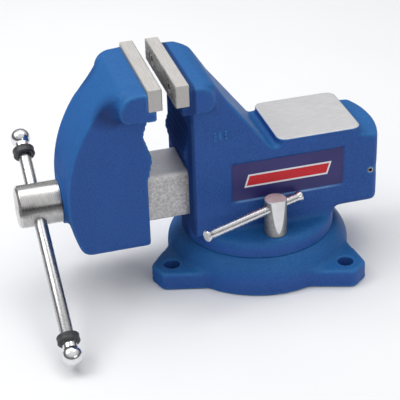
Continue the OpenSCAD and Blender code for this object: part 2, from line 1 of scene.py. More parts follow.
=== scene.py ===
"""Looks of the bench vise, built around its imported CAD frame.

Lengths are millimetres until they reach Blender, which has metres."""

import math

import bmesh
import bpy
import numpy as np
import openvdb as vdb
from mathutils import Matrix, Vector


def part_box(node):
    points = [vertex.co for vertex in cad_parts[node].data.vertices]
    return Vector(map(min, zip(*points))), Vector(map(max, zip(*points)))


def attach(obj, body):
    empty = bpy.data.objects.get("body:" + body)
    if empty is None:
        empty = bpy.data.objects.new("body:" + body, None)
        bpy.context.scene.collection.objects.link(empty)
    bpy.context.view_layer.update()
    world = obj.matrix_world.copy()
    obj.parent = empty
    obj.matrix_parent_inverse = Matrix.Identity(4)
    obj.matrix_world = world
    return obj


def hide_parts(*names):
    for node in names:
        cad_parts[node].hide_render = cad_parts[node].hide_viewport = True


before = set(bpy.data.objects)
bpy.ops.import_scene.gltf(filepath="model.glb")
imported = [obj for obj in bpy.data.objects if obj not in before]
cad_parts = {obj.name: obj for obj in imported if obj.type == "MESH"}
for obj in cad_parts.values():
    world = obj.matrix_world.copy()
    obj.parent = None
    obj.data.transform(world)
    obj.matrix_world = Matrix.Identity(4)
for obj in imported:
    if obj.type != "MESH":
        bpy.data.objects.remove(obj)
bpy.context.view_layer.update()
MM = 0.001


def span(node):
    """A CAD node's low and high corner in millimetres."""
    lo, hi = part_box(node)
    return np.array(lo) / MM, np.array(hi) / MM


# ---- places taken from the frame

slide_end = span("dynamic_jaw")[1][0]
fixed_lo, fixed_hi = span("static_jaw_plate")
moving_lo, moving_hi = span("dynamic_jaw_plate")
screw_lo, screw_hi = span("spindle")
collar_x0 = span("retaining_collar")[0][0]
label_lo, label_hi = span("nameplate")
lock_lo, lock_hi = span("lock_nut_near")
pin_lo, pin_hi = span("tail_pins")

# the screw, its head and the handle bar through it
AXIS_Z = (screw_lo[2] + screw_hi[2]) / 2
HEAD_R = (screw_hi[2] - screw_lo[2]) / 2
HEAD_L = 42.0
HEAD_X1 = screw_lo[0] + HEAD_L
HANDLE_TILT = math.radians(28.0)
HANDLE_X = HEAD_X1 - HEAD_L / 2 - 2.0

# the slide bar behind the hood, a channel open below
SLIDE_HALF = 27.0
SLIDE_Z0, SLIDE_Z1 = 68.55, 118.05
SLIDE_CORNER = 4.0
CHANNEL_HALF, CHANNEL_TOP = 16.5, 108.85
HOOD_REAR = moving_lo[0] + 1.0

# the body: anvil, side face, label recess and tail pins
ANVIL_TOP = 143.5
BODY_SIDE = -label_hi[1] + 1.0
PANEL_LIP = 82.3
PIN_X = (pin_lo[0] + pin_hi[0]) / 2

# the swivel locks and the base's ears
LOCK_R = -(lock_lo[1] + lock_hi[1]) / 2
LOCK_SEAT = lock_lo[2]
NUT_R = (lock_hi[0] - lock_lo[0]) / 2
NUT_H = lock_hi[2] - lock_lo[2]
LOCK_BAR_Z = lock_hi[2] - 9.0
LOCK_TURN = math.radians(21.5)
EAR_R = 105.0
EAR_ANGLES = [math.radians(a) for a in (198.05, 308.55, 73.3)]

# the jaw plates' screws, the same in both plates
SCREW_Y = 32.0
SCREW_Z = (fixed_lo[2] + fixed_hi[2]) / 2

# middle of a hollow in front of the moving head's ends, as distances from the frame's planes
COVE = (156.0, 42.0, 199.0)

SIDES = (("near", -1), ("far", 1))  # the vise's two sides and the sign of their Y


# ---- mesh helpers


def linked(name, data):
    """A new object in the scene."""
    obj = bpy.data.objects.new(name, data)
    bpy.context.scene.collection.objects.link(obj)
    return obj


def mesh_object(name, verts, faces, smooth_angle=None):
    """A new object from points in millimetres.

    Edges sharper than smooth_angle degrees stay sharp; None means flat faces."""
    mesh = bpy.data.meshes.new(name)
    mesh.from_pydata([tuple(float(c) * MM for c in v) for v in verts], [], faces)
    mesh.validate()
    obj = linked(name, mesh)
    clean_normals(obj)
    shade(obj, smooth_angle)
    return obj


def clean_normals(obj):
    """Turns every face outwards."""
    bm = bmesh.new()
    bm.from_mesh(obj.data)
    bmesh.ops.recalc_face_normals(bm, faces=bm.faces)
    bm.to_mesh(obj.data)
    bm.free()


def shade(obj, smooth_angle):
    """Smooth shading with the edges over smooth_angle degrees kept sharp; None means flat faces."""
    mesh = obj.data
    if smooth_angle is None:
        mesh.shade_flat()
    else:
        mesh.shade_smooth()
        mesh.set_sharp_from_angle(angle=math.radians(smooth_angle))


def place(x=0.0, y=0.0, z=0.0, toward=(0, 0, 1)):
    """Matrix that puts local +Z along toward, at a point in millimetres."""
    turn = Vector(toward).to_track_quat("Z", "Y").to_matrix().to_4x4()
    return Matrix.Translation((x * MM, y * MM, z * MM)) @ turn


def transform(obj, matrix):
    obj.data.transform(matrix)
    obj.data.update()
    return obj


def rounded(points, radii, steps=5):
    """An open outline with each inner corner replaced by an arc of its radius."""
    out = [points[0]]
    for i in range(1, len(points) - 1):
        a, b, c = (np.array(p, float) for p in points[i - 1 : i + 2])
        r = radii[i - 1] if hasattr(radii, "__len__") else radii
        u, w = (a - b) / np.linalg.norm(a - b), (c - b) / np.linalg.norm(c - b)
        half = math.acos(max(-1.0, min(1.0, float(u @ w)))) / 2
        if r <= 0 or abs(half - math.pi / 2) < 0.02:
            out.append(tuple(b))
            continue
        cut = min(r / math.tan(half), 0.49 * np.linalg.norm(a - b), 0.49 * np.linalg.norm(c - b))
        p, q = b + u * cut, b + w * cut
        centre = b + (u + w) / np.linalg.norm(u + w) * (cut / math.cos(half))
        for k in range(steps + 1):
            t = k / steps
            d = (p - centre) * (1 - t) + (q - centre) * t
            d *= np.linalg.norm(p - centre) / np.linalg.norm(d)
            out.append(tuple(centre + d))
    out.append(points[-1])
    return out


def lathe(name, profile, segments=72, smooth_angle=32):
    """Turned piece from (radius, height) pairs along local +Z.

    A radius of 0 at an end closes it in a point."""
    verts, rings = [], []
    for r, h in profile:
        if r < 1e-6:
            rings.append([len(verts)])
            verts.append((0, 0, h))
        else:
            rings.append(list(range(len(verts), len(verts) + segments)))
            verts += [(x, y, h) for x, y in arc(r, [2 * math.pi * k / segments for k in range(segments)])]
    faces = []
    for a, b in zip(rings, rings[1:]):
        for k in range(segments):
            n = (k + 1) % segments
            if len(a) == 1 and len(b) == 1:
                continue
            if len(a) == 1:
                faces.append((a[0], b[n], b[k]))
            elif len(b) == 1:
                faces.append((a[k], a[n], b[0]))
            else:
                faces.append((a[k], a[n], b[n], b[k]))
    for ring in (rings[0], rings[-1]):
        if len(ring) > 1 and profile[0] != profile[-1]:
            faces.append(tuple(ring))
    return mesh_object(name, verts, faces, smooth_angle)


def ring_lathe(name, profile, segments=72, smooth_angle=32):
    """Turned ring from a closed outline of (radius, height) pairs."""
    return lathe(name, list(profile) + [profile[0]], segments, smooth_angle)


def prism(name, outline, h0, h1, chamfer=0.0, smooth_angle=30):
    """A closed XY outline raised from h0 to h1, with both rims chamfered."""
    outline = [np.array(p, float) for p in outline]
    n = len(outline)

    def inset(d):
        out = []
        for i in range(n):
            a, b, c = outline[i - 1], outline[i], outline[(i + 1) % n]
            u, w = b - a, c - b
            m = np.array([-u[1], u[0]]) / np.linalg.norm(u) + np.array([-w[1], w[0]]) / np.linalg.norm(w)
            m /= np.linalg.norm(m)
            k = m @ (np.array([-u[1], u[0]]) / np.linalg.norm(u))
            out.append(b + m * d / max(k, 0.3))
        return out

    rows = [(h0, 0), (h1, 0)]
    if chamfer:
        rows = [(h0, chamfer), (h0 + chamfer, 0), (h1 - chamfer, 0), (h1, chamfer)]
    verts, faces = [], []
    for h, d in rows:
        verts += [(p[0], p[1], h) for p in inset(d)]
    for r in range(len(rows) - 1):
        for i in range(n):
            j = (i + 1) % n
            faces.append((r * n + i, r * n + j, (r + 1) * n + j, (r + 1) * n + i))
    faces.append(tuple(reversed(range(n))))
    faces.append(tuple(range((len(rows) - 1) * n, len(rows) * n)))
    return mesh_object(name, verts, faces, smooth_angle)


def arc(r, angles, cx=0.0, cy=0.0):
    """Points on a circle at angles in radians."""
    return [(cx + r * math.cos(a), cy + r * math.sin(a)) for a in angles]


def round_rect(w, h, r, steps=6):
    """Anticlockwise outline of a rounded rectangle centred on the origin."""
    out = []
    x, y = w / 2 - r, h / 2 - r
    for cx, cy, a0 in ((x, y, 0), (-x, y, 90), (-x, -y, 180), (x, -y, 270)):
        out += arc(r, [math.radians(a0 + 90 * k / steps) for k in range(steps + 1)], cx, cy)
    return out


def baked(obj):
    """Applies the object's modifiers."""
    graph = bpy.context.evaluated_depsgraph_get()
    mesh = bpy.data.meshes.new_from_object(obj.evaluated_get(graph))
    obj.modifiers.clear()
    obj.data = mesh
    return obj


def cut(obj, *tools):
    """Cuts the tools from obj and removes them."""
    for tool in tools:
        m = obj.modifiers.new("cut", "BOOLEAN")
        m.operation, m.solver, m.object = "DIFFERENCE", "EXACT", tool
        baked(obj)
        bpy.data.objects.remove(tool)
    return obj


def bevel(obj, width, angle):
    """Rounds the edges sharper than angle degrees by width millimetres."""
    m = obj.modifiers.new("edge", "BEVEL")
    m.width, m.segments = width * MM, 2
    m.limit_method, m.angle_limit = "ANGLE", math.radians(angle)
    m.harden_normals = False
    return obj


def finish_piece(obj, body, material, replaces=()):
    """Paints a piece, ties it to its body and hides the CAD nodes that it stands for."""
    obj.data.materials.clear()
    obj.data.materials.append(material)
    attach(obj, body)
    if replaces:
        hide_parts(*replaces)
    return obj


# ---- materials


class Nodes:
    """A node tree, emptied, with short calls for what goes in it."""

    def __init__(self, owner):
        owner.use_nodes = True
        self.tree = owner.node_tree
        self.tree.nodes.clear()

    def node(self, kind, **settings):
        n = self.tree.nodes.new(kind)
        for key, value in settings.items():
            setattr(n, key, value)
        return n

    def link(self, a, b):
        self.tree.links.new(a, b)


class Paint(Nodes):
    """A Principled material."""

    def __init__(self, name, **values):
        self.mat = bpy.data.materials.new(name)
        super().__init__(self.mat)
        self.bsdf = self.node("ShaderNodeBsdfPrincipled")
        self.link(self.bsdf.outputs["BSDF"], self.node("ShaderNodeOutputMaterial").inputs["Surface"])
        self.place = self.node("ShaderNodeTexCoord").outputs["Object"]
        for key, value in values.items():
            self.bsdf.inputs[key.replace("_", " ")].default_value = value

    def value(self, socket, source):
        """Feeds a socket from another socket or a plain value."""
        if isinstance(source, bpy.types.NodeSocket):
            self.link(source, socket)
        else:
            socket.default_value = source

    def stretched(self, x, y, z):
        """The object's coordinates scaled along each axis; under 1 draws a pattern out."""
        m = self.node("ShaderNodeMapping")
        m.inputs["Scale"].default_value = (x, y, z)
        self.link(self.place, m.inputs["Vector"])
        return m.outputs["Vector"]

    def noise(self, scale, detail=3.0, rough=0.55, where=None):
        n = self.node("ShaderNodeTexNoise")
        n.inputs["Scale"].default_value = scale
        n.inputs["Detail"].default_value = detail
        n.inputs["Roughness"].default_value = rough
        self.link(where or self.place, n.inputs["Vector"])
        return n.outputs["Fac"]

    def cells(self, scale):
        n = self.node("ShaderNodeTexVoronoi")
        n.inputs["Scale"].default_value = scale
        self.link(self.place, n.inputs["Vector"])
        return n.outputs["Distance"]

    def ramp(self, source, lo, hi, a=0.0, b=1.0):
        """source mapped from lo..hi to a..b, held at the ends."""
        n = self.node("ShaderNodeMapRange")
        for key, v in (("From Min", lo), ("From Max", hi), ("To Min", a), ("To Max", b)):
            n.inputs[key].default_value = v
        self.link(source, n.inputs["Value"])
        return n.outputs["Result"]

    def vary(self, source, a=0.0, b=1.0):
        """a to b over the middle of a noise."""
        return self.ramp(source, 0.3, 0.7, a, b)

    def ramp_mm(self, source, lo, hi, a=0.0, b=1.0):
        """ramp between two places in millimetres."""
        return self.ramp(source, lo * MM, hi * MM, a, b)

    def math(self, op, a, b=0.0):
        n = self.node("ShaderNodeMath", operation=op)
        self.value(n.inputs[0], a)
        self.value(n.inputs[1], b)
        return n.outputs["Value"]

    def times(self, first, *others):
        for other in others:
            first = self.math("MULTIPLY", first, other)
        return first

    def plus(self, a, b):
        return self.math("ADD", a, b)

    def away(self, a, b=0.0):
        """Distance of a from b, always positive."""
        return self.math("ABSOLUTE", self.math("SUBTRACT", a, b))

    def mix(self, fac, a, b):
        n = self.node("ShaderNodeMix", data_type="RGBA")
        self.value(n.inputs["Factor"], fac)
        for socket, v in ((n.inputs[6], a), (n.inputs[7], b)):
            self.value(socket, v if isinstance(v, bpy.types.NodeSocket) else (*v, 1.0))
        return n.outputs[2]

    def axis(self, which, vector=None):
        """One component of the object's coordinates, or of another vector."""
        n = self.node("ShaderNodeSeparateXYZ")
        self.link(vector or self.place, n.inputs["Vector"])
        return n.outputs[which]

    def bump(self, *layers):
        """layers of (height, depth in millimetres)."""
        normal = None
        for height, depth in layers:
            n = self.node("ShaderNodeBump")
            n.inputs["Strength"].default_value = 1.0
            n.inputs["Distance"].default_value = depth * MM
            self.link(height, n.inputs["Height"])
            if normal:
                self.link(normal, n.inputs["Normal"])
            normal = n.outputs["Normal"]
        self.link(normal, self.bsdf.inputs["Normal"])

    def done(self, color, rough, *layers):
        """The material, with its colour, its roughness and its bump layers."""
        self.link(color, self.bsdf.inputs["Base Color"])
        self.link(rough, self.bsdf.inputs["Roughness"])
        if layers:
            self.bump(*layers)
        return self.mat


# the enamel's blue: painted lit, side and shaded tones (the shaded one also darkens flecks), a painted edge
# highlight (which also lightens flecks), a painted shadow and a painted highlight for the recess lip
BLUE_PAINTED_LIT = (0.018, 0.116, 0.340)
BLUE_SIDE = (0.027, 0.092, 0.350)
BLUE_SHADE_AND_FLECK = (0.014, 0.050, 0.215)
BLUE_HIGHLIGHT_AND_FLECK = (0.050, 0.24, 0.56)
BLUE_PAINTED_SHADOW = (0.008, 0.020, 0.105)
BLUE_LIP = (0.30, 0.50, 0.80)
PEEL_DEPTH, SAND_DEPTH = 0.35, 0.10


def casting_paint(name, bare=False, painted_edges_and_hollows=True):
    """Satin blue enamel over sand-cast iron; with bare, the anvil's machined face shows.

    With the last flag on, the edges are painted lighter as a highlight and the hollows darker as shade, which
    needs a dense mesh."""
    p = Paint(name, IOR=1.3)
    cloud, grain = p.noise(14, 4), p.noise(700, 2, 0.6)
    peel, sand = p.noise(420, 2, 0.5), p.cells(900)
    shape = p.node("ShaderNodeNewGeometry")
    normal_x, normal_z = (p.axis(a, shape.outputs["Normal"]) for a in "XZ")
    # painted light: upward faces get a lit tone, sides a shaded tone and downward faces the darkest shade
    up = p.plus(normal_z, p.vary(cloud, -0.10, 0.10))
    tone = p.mix(p.ramp(up, -0.6, 0.05), BLUE_SHADE_AND_FLECK, BLUE_SIDE)
    tone = p.mix(p.ramp(up, 0.05, 0.75), tone, BLUE_PAINTED_LIT)
    tone = p.mix(p.ramp(grain, 0.42, 0.72, 0.0, 0.20), tone, BLUE_HIGHLIGHT_AND_FLECK)
    tone = p.mix(p.ramp(grain, 0.50, 0.28, 0.0, 0.30), tone, BLUE_SHADE_AND_FLECK)
    if painted_edges_and_hollows:
        # painted shade in the hollows and a painted highlight along the edges, found by pointiness
        tone = p.mix(p.ramp(shape.outputs["Pointiness"], 0.49, 0.44, 0.0, 0.55), tone, BLUE_SHADE_AND_FLECK)
        tone = p.mix(p.ramp(shape.outputs["Pointiness"], 0.508, 0.56, 0.0, 0.75), tone, BLUE_HIGHLIGHT_AND_FLECK)
    # the hollows in front of the moving head's ends get a painted shadow, darkest in their middle
    mirrored = p.node("ShaderNodeVectorMath", operation="ABSOLUTE")
    depth = p.node("ShaderNodeVectorMath", operation="DISTANCE")
    p.link(p.place, mirrored.inputs[0])
    p.link(mirrored.outputs["Vector"], depth.inputs[0])
    depth.inputs[1].default_value = [c * MM for c in COVE]
    tone = p.mix(p.ramp_mm(depth.outputs["Value"], 22, 9, 0.0, 0.75), tone, BLUE_PAINTED_SHADOW)
    # the faces towards the screw's head are the dullest, and their colour is painted lighter towards the lit
    # tone
    ahead = p.ramp(normal_x, -0.45, -0.9)
    rough = p.plus(p.ramp(p.noise(60, 4), 0.3, 0.7, 0.40, 0.52), p.times(ahead, 0.22))
    p.link(p.ramp(normal_x, -0.45, -0.9, 0.42, 0.12), p.bsdf.inputs["Specular IOR Level"])
    if not bare:
        return p.done(
            p.mix(p.times(ahead, 0.35), tone, BLUE_PAINTED_LIT),
            rough,
            (peel, PEEL_DEPTH), (sand, SAND_DEPTH),
        )
    x, z = p.axis("X"), p.axis("Z")
    # light catches the lower lip of the label's recess
    lip = p.times(
        p.ramp_mm(p.away(z, PANEL_LIP * MM), 1.3, 0.3),
        p.ramp_mm(x, -38, -30),
        p.ramp_mm(x, 78, 60),
        p.ramp_mm(p.away(p.axis("Y")), 39.5, 40.5),
    )
    tone = p.mix(p.times(lip, p.ramp(cloud, 0.35, 0.6, 0.35, 0.8)), tone, BLUE_LIP)
    # the pipe jaw and the column's front are left rough from the mould, and painted dark as shade
    raw_and_shaded = p.ramp_mm(x, -74.5, -76.5)
    rough = p.plus(rough, p.times(raw_and_shaded, 0.30))
    tone = p.mix(p.times(raw_and_shaded, 0.7), tone, BLUE_PAINTED_SHADOW)
    # the anvil's machined top
    mask = p.times(
        p.ramp_mm(z, ANVIL_TOP - 0.55, ANVIL_TOP - 0.3),
        p.ramp_mm(x, 6, 7),
        p.ramp_mm(z, ANVIL_TOP + 4, ANVIL_TOP + 2),
    )
    ground = p.noise(300, 3, 0.6, p.stretched(0.25, 2.2, 1))
    steel = p.mix(p.vary(ground), (0.55, 0.545, 0.55), (0.66, 0.655, 0.66))
    p.link(p.times(mask, 0.45), p.bsdf.inputs["Metallic"])
    coat = p.math("SUBTRACT", 1.0, mask)
    enamel = (p.times(peel, coat), PEEL_DEPTH), (p.times(sand, coat), SAND_DEPTH)
    rough = p.plus(rough, p.times(mask, 0.10))
    return p.done(p.mix(mask, tone, steel), rough, *enamel, (p.times(ground, mask), 0.02))


def machined_iron():
    """The slide bar's bare casting, milled and speckled."""
    p = Paint("machined_iron", Metallic=0.35)
    speck, cloud = p.noise(430, 4, 0.7), p.noise(45, 4)
    mill = p.noise(260, 3, 0.6, p.stretched(0.12, 1, 1))
    tone = p.mix(p.ramp(speck, 0.36, 0.64), (0.40, 0.39, 0.385), (0.78, 0.77, 0.765))
    tone = p.mix(p.ramp(cloud, 0.35, 0.7, 0.0, 0.35), tone, (0.46, 0.45, 0.44))
    # the top is painted lighter and its rounded edges get a painted highlight
    top, flank = p.axis("Z"), p.away(p.axis("Y"))
    tone = p.mix(p.ramp_mm(top, SLIDE_Z1 - 1, SLIDE_Z1 - 0.2, 0.0, 0.7), tone, (0.95, 0.95, 0.97))
    edge = p.times(
        p.ramp_mm(top, SLIDE_Z1 - 4.5, SLIDE_Z1 - 1.5),
        p.ramp_mm(flank, SLIDE_HALF - 4.5, SLIDE_HALF - 1.5),
        p.ramp(cloud, 0.3, 0.6, 0.3, 0.8),
    )
    tone = p.mix(edge, tone, (0.92, 0.91, 0.90))
    return p.done(tone, p.vary(mill, 0.34, 0.50), (speck, 0.10), (mill, 0.05))


def ground_steel():
    """Jaw plates: surface-ground, with faint marks down the ends."""
    p = Paint("ground_steel", Metallic=0.45)
    along = p.noise(700, 3, 0.6, p.stretched(1, 0.08, 1))
    down = p.noise(420, 3, 0.6, p.stretched(1.6, 1.6, 0.10))
    warm = p.noise(70, 3)
    tone = p.mix(p.vary(along), (0.56, 0.54, 0.52), (0.70, 0.685, 0.665))
    tone = p.mix(p.ramp(warm, 0.45, 0.75, 0.0, 0.35), tone, (0.60, 0.55, 0.48))
    # side faces painted darker as shade
    up = p.axis("Z", p.node("ShaderNodeNewGeometry").outputs["Normal"])
    tone = p.mix(p.ramp(up, 0.6, 0.2, 0.0, 0.5), tone, (0.36, 0.345, 0.335))
    # the serrated faces on either side of the opening are darker, in a mottled pattern
    middle, half = (fixed_lo[0] + moving_hi[0]) / 2, (fixed_lo[0] - moving_hi[0]) / 2
    face = p.ramp_mm(p.away(p.axis("X"), middle * MM), half + 1.1, half + 0.7)
    mottle = p.ramp(p.noise(520, 3, 0.7), 0.35, 0.65, 0.25, 1.0)
    tone = p.mix(p.times(face, mottle), tone, (0.12, 0.12, 0.13))
    return p.done(tone, p.vary(down, 0.40, 0.52), (down, 0.035), (along, 0.02))


def turned_steel(name, where, tone_a, tone_b, lo, hi, depth=0.02, scale=900):
    """Bright steel with fine turning marks, drawn out by where; lo and hi are its roughness."""
    p = Paint(name, Metallic=1.0)
    marks, smudge = p.noise(scale, 3, 0.6, p.stretched(*where)), p.noise(38, 3)
    return p.done(
        p.mix(p.vary(marks), tone_a, tone_b),
        p.plus(p.vary(marks, lo, hi), p.ramp(smudge, 0.45, 0.75, 0.0, 0.08)),
        (marks, depth),
    )


def head_steel():
    """The screw's turned head, with a dark reflection band painted along its lower front."""
    p = Paint("spindle_steel", Metallic=1.0)
    marks, smudge = p.noise(900, 3, 0.6, p.stretched(1.4, 0.10, 0.10)), p.noise(60, 4, 0.6)
    tone = p.mix(p.vary(marks), (0.50, 0.49, 0.48), (0.64, 0.63, 0.62))
    # height of a point on the skin, turned so that 0 lies on the band's middle
    lean = math.radians(14)
    up = p.math("SUBTRACT", p.axis("Z"), AXIS_Z * MM)
    across = p.plus(p.times(up, math.cos(lean)), p.times(p.axis("Y"), math.sin(lean)))
    across = p.plus(across, p.vary(smudge, -1.6 * MM, 1.6 * MM))
    # the band is a painted reflection of the dim horizon
    band = p.ramp_mm(p.away(across), 7.0, 2.0)
    front = p.ramp_mm(p.axis("Y"), -9, -15)
    return p.done(
        p.mix(p.times(band, front, 0.85), tone, (0.10, 0.098, 0.10)),
        p.plus(p.vary(marks, 0.22, 0.34), p.ramp(smudge, 0.45, 0.75, 0.0, 0.10)),
        (marks, 0.02),
    )


def nut_plating():
    """A lock nut's turned sides painted dull and dark as shade, with its milled flat and faced top painted
    brighter as a highlight.
    """
    p = Paint("lock_nut_plating", Metallic=0.75)
    marks, smudge = p.noise(500, 3, 0.6, p.stretched(0.3, 0.3, 1.0)), p.noise(90, 3)
    side = p.mix(p.vary(marks), (0.26, 0.26, 0.265), (0.36, 0.36, 0.365))
    milled = p.mix(p.vary(smudge), (0.70, 0.70, 0.71), (0.82, 0.82, 0.83))
    # what lies inside the turned radius has been faced or milled
    x, y = p.axis("X"), p.math("SUBTRACT", p.away(p.axis("Y")), LOCK_R * MM)
    radius = p.math("SQRT", p.plus(p.times(x, x), p.times(y, y)))
    # the faced and milled faces get a painted highlight, the turned sides painted shade
    return p.done(
        p.mix(p.ramp_mm(radius, NUT_R - 0.10, NUT_R - 0.30), side, milled),
        p.plus(p.vary(marks, 0.30, 0.42), p.vary(smudge, 0.0, 0.08)),
        (marks, 0.006),
    )


def grained(name, cloud, grain, tones, rough, depth, where=(0.35, 0.7), **values):
    """A two-toned surface; cloud and grain are the noises behind its tone and its roughness."""
    p = Paint(name, **values)
    fine = p.noise(*grain)
    return p.done(p.mix(p.ramp(p.noise(*cloud), *where), *tones), p.vary(fine, *rough), (fine, depth))


LABEL_BAR = (43.0, 7.0)  # half the slanted bar's width and height, with its border
LABEL_SLANT, LABEL_BORDER = 0.30, 1.8


def label_film():
    """Dark blue label with a generic slanted red bar in a white border, and no lettering."""
    p = Paint("label_film", Specular_IOR_Level=0.3)
    cx, cz = (label_lo[0] + label_hi[0]) / 2 * MM, (label_lo[2] + label_hi[2]) / 2 * MM
    u = p.math("SUBTRACT", p.axis("X"), cx)
    v = p.math("SUBTRACT", p.axis("Z"), cz)
    lean = p.math("SUBTRACT", u, p.times(v, LABEL_SLANT))

    def bar(inset=0.0):
        half_w, half_h = LABEL_BAR[0] - inset, LABEL_BAR[1] - inset
        across = p.ramp_mm(p.away(lean), half_w + 0.12, half_w - 0.12)
        up = p.ramp_mm(p.away(v), half_h + 0.12, half_h - 0.12)
        return p.times(across, up)

    grain, cloud = p.noise(800, 2), p.noise(30, 2)
    ground = p.mix(p.ramp(cloud, 0.35, 0.7), (0.036, 0.032, 0.150), (0.048, 0.040, 0.185))
    tone = p.mix(bar(), ground, (0.86, 0.86, 0.88))
    red = p.mix(p.ramp(grain, 0.35, 0.7), (0.60, 0.012, 0.022), (0.70, 0.022, 0.034))
    return p.done(p.mix(bar(LABEL_BORDER), tone, red), p.vary(grain, 0.30, 0.40), (grain, 0.01))


casting_blue = casting_paint("casting_enamel")
casting_bare = casting_paint("casting_enamel_anvil", bare=True)
plain_blue = casting_paint("plug_enamel", painted_edges_and_hollows=False)
bar_iron = machined_iron()
plate_steel = ground_steel()
spindle_steel = head_steel()
EVEN = (1, 1, 1)
handle_steel = turned_steel(
    "handle_steel", (1, 0.25, 0.5), (0.42, 0.42, 0.425), (0.50, 0.50, 0.505), 0.22, 0.32
)
chrome = turned_steel(
    "bright_plating", EVEN, (0.72, 0.72, 0.73), (0.82, 0.82, 0.83), 0.07, 0.14, 0.008, 300
)
nut_bright = nut_plating()
bar_bright = turned_steel(
    "tommy_bar_plating", EVEN, (0.66, 0.66, 0.67), (0.78, 0.78, 0.79), 0.20, 0.30, 0.008, 300
)
pin_steel = turned_steel(
    "pin_steel", EVEN, (0.36, 0.355, 0.35), (0.50, 0.49, 0.48), 0.26, 0.40, 0.02, 500
)
DARK = ((0.06, 0.06, 0.063), (0.13, 0.13, 0.135))
GREY = ((0.20, 0.19, 0.175), (0.33, 0.31, 0.29))
DUSTY = ((0.040, 0.041, 0.044), (0.085, 0.088, 0.095))
oxide = grained("black_oxide_steel", (500, 3), (500, 3), DARK, (0.34, 0.46), 0.02, Metallic=0.8)
iron = grained("nut_iron", (50, 3), (380, 4), GREY, (0.45, 0.62), 0.10, Metallic=0.6)
black_rubber = grained(
    "bumper_rubber", (90, 4), (650, 3), DUSTY, (0.40, 0.56), 0.05, (0.45, 0.75), Specular_IOR_Level=0.4
)
film = label_film()

# ---- castings

VOXEL = 1.3  # the field's grid
BAND = 8.0  # voxels of true distance kept on each side of a surface
WAVE_SIZE, WAVE_DEPTH = 6.0, 0.30  # the unevenness of a sand casting

# what rounded_end takes for the two jaw heads
BODY_END = dict(front=-55.8, sign=1, low=190.0, top=219.2, r_low=14.2, r_top=14.6, waist=46.5, reach=8.0)
JAW_END = dict(
    front=moving_lo[0] - 27.6, sign=-1, low=192.0, top=220.6, r_low=10.0, r_top=17.0, waist=38.0, reach=14.0
)
SCOOP_R, SCOOP_DROP = 11.0, 22.0


def smooth_step(v, a, b):
    """0 at a and before, 1 at b and after, with a smooth rise between."""
    t = np.clip((v - a) / (b - a), 0, 1)
    return t * t * (3 - 2 * t)


def blurred(field, sigma):
    """Separable Gaussian blur, sigma in voxels."""
    n = max(1, int(math.ceil(3 * sigma)))
    kernel = np.exp(-0.5 * (np.arange(-n, n + 1) / sigma) ** 2)
    kernel /= kernel.sum()
    for axis in range(3):
        pad = [(n, n) if a == axis else (0, 0) for a in range(3)]
        wide = np.pad(field, pad, mode="edge")
        size = field.shape[axis]
        total = np.zeros_like(field)
        for i, k in enumerate(kernel):
            pick = [slice(None)] * 3
            pick[axis] = slice(i, i + size)
            total += np.float32(k) * wide[tuple(pick)]
        field = total
    return field


def solid_field(node):
    """Signed distance of a CAD node on a grid, in millimetres, and the grid's coordinates."""
    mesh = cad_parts[node].data
    mesh.calc_loop_triangles()
    points = np.empty(len(mesh.vertices) * 3, np.float32)
    mesh.vertices.foreach_get("co", points)
    corners = np.empty(len(mesh.loop_triangles) * 3, np.int32)
    mesh.loop_triangles.foreach_get("vertices", corners)
    grid = vdb.FloatGrid.createLevelSetFromPolygons(
        (points / MM).reshape(-1, 3).astype(np.float32),
        triangles=corners.reshape(-1, 3).astype(np.uint32),
        transform=vdb.createLinearTransform(voxelSize=VOXEL),
        halfWidth=BAND,
    )
    lo, hi = (np.array(c) for c in grid.evalActiveVoxelBoundingBox())
    field = np.empty(hi - lo + 1, np.float32)
    grid.copyToArray(field, ijk=tuple(int(c) for c in lo))
    x, y, z = (
        ((lo[a] + np.arange(field.shape[a])) * VOXEL).reshape([-1 if b == a else 1 for b in range(3)])
        for a in range(3)
    )
    return field, lo, (x, y, z)


SOFTNESS = (0.0, 0.8, 1.7, 3.0)


def softened(field, sigma):
    """The field blurred by a sigma in millimetres that varies from place to place."""
    sigma = np.broadcast_to(sigma, field.shape).astype(np.float32)
    steps = [field] + [blurred(field, s / VOXEL) for s in SOFTNESS[1:]]
    out = np.zeros_like(field)
    for i, s in enumerate(SOFTNESS):
        left = SOFTNESS[i - 1] if i else s - 1
        right = SOFTNESS[i + 1] if i + 1 < len(SOFTNESS) else s + 100
        weight = np.where(sigma < s, (sigma - left) / (s - left), (right - sigma) / (right - s))
        out += np.clip(weight, 0, 1).astype(np.float32) * steps[i]
    return out


def wavy(shape, seed, size, depth):
    """Smooth seeded waves between 0 and depth, for the unevenness of a sand casting."""
    coarse = np.random.default_rng(seed).standard_normal([n // 2 + 2 for n in shape]).astype(np.float32)
    waves = blurred(coarse, size / VOXEL / 2)
    waves = waves.repeat(2, 0).repeat(2, 1).repeat(2, 2)[: shape[0], : shape[1], : shape[2]]
    waves = blurred(np.ascontiguousarray(waves), 1.0)
    waves = (waves - waves.min()) / (waves.max() - waves.min())
    return depth * waves


def blend_to(sigma, target, mask):
    """sigma, brought to target where the mask is 1."""
    return sigma * (1 - mask) + target * mask


def inside(v, lo, hi, soft=1.5):
    """1 between lo and hi, falling to 0 over soft."""
    return smooth_step(v, lo - soft, lo) * (1 - smooth_step(v, hi, hi + soft))


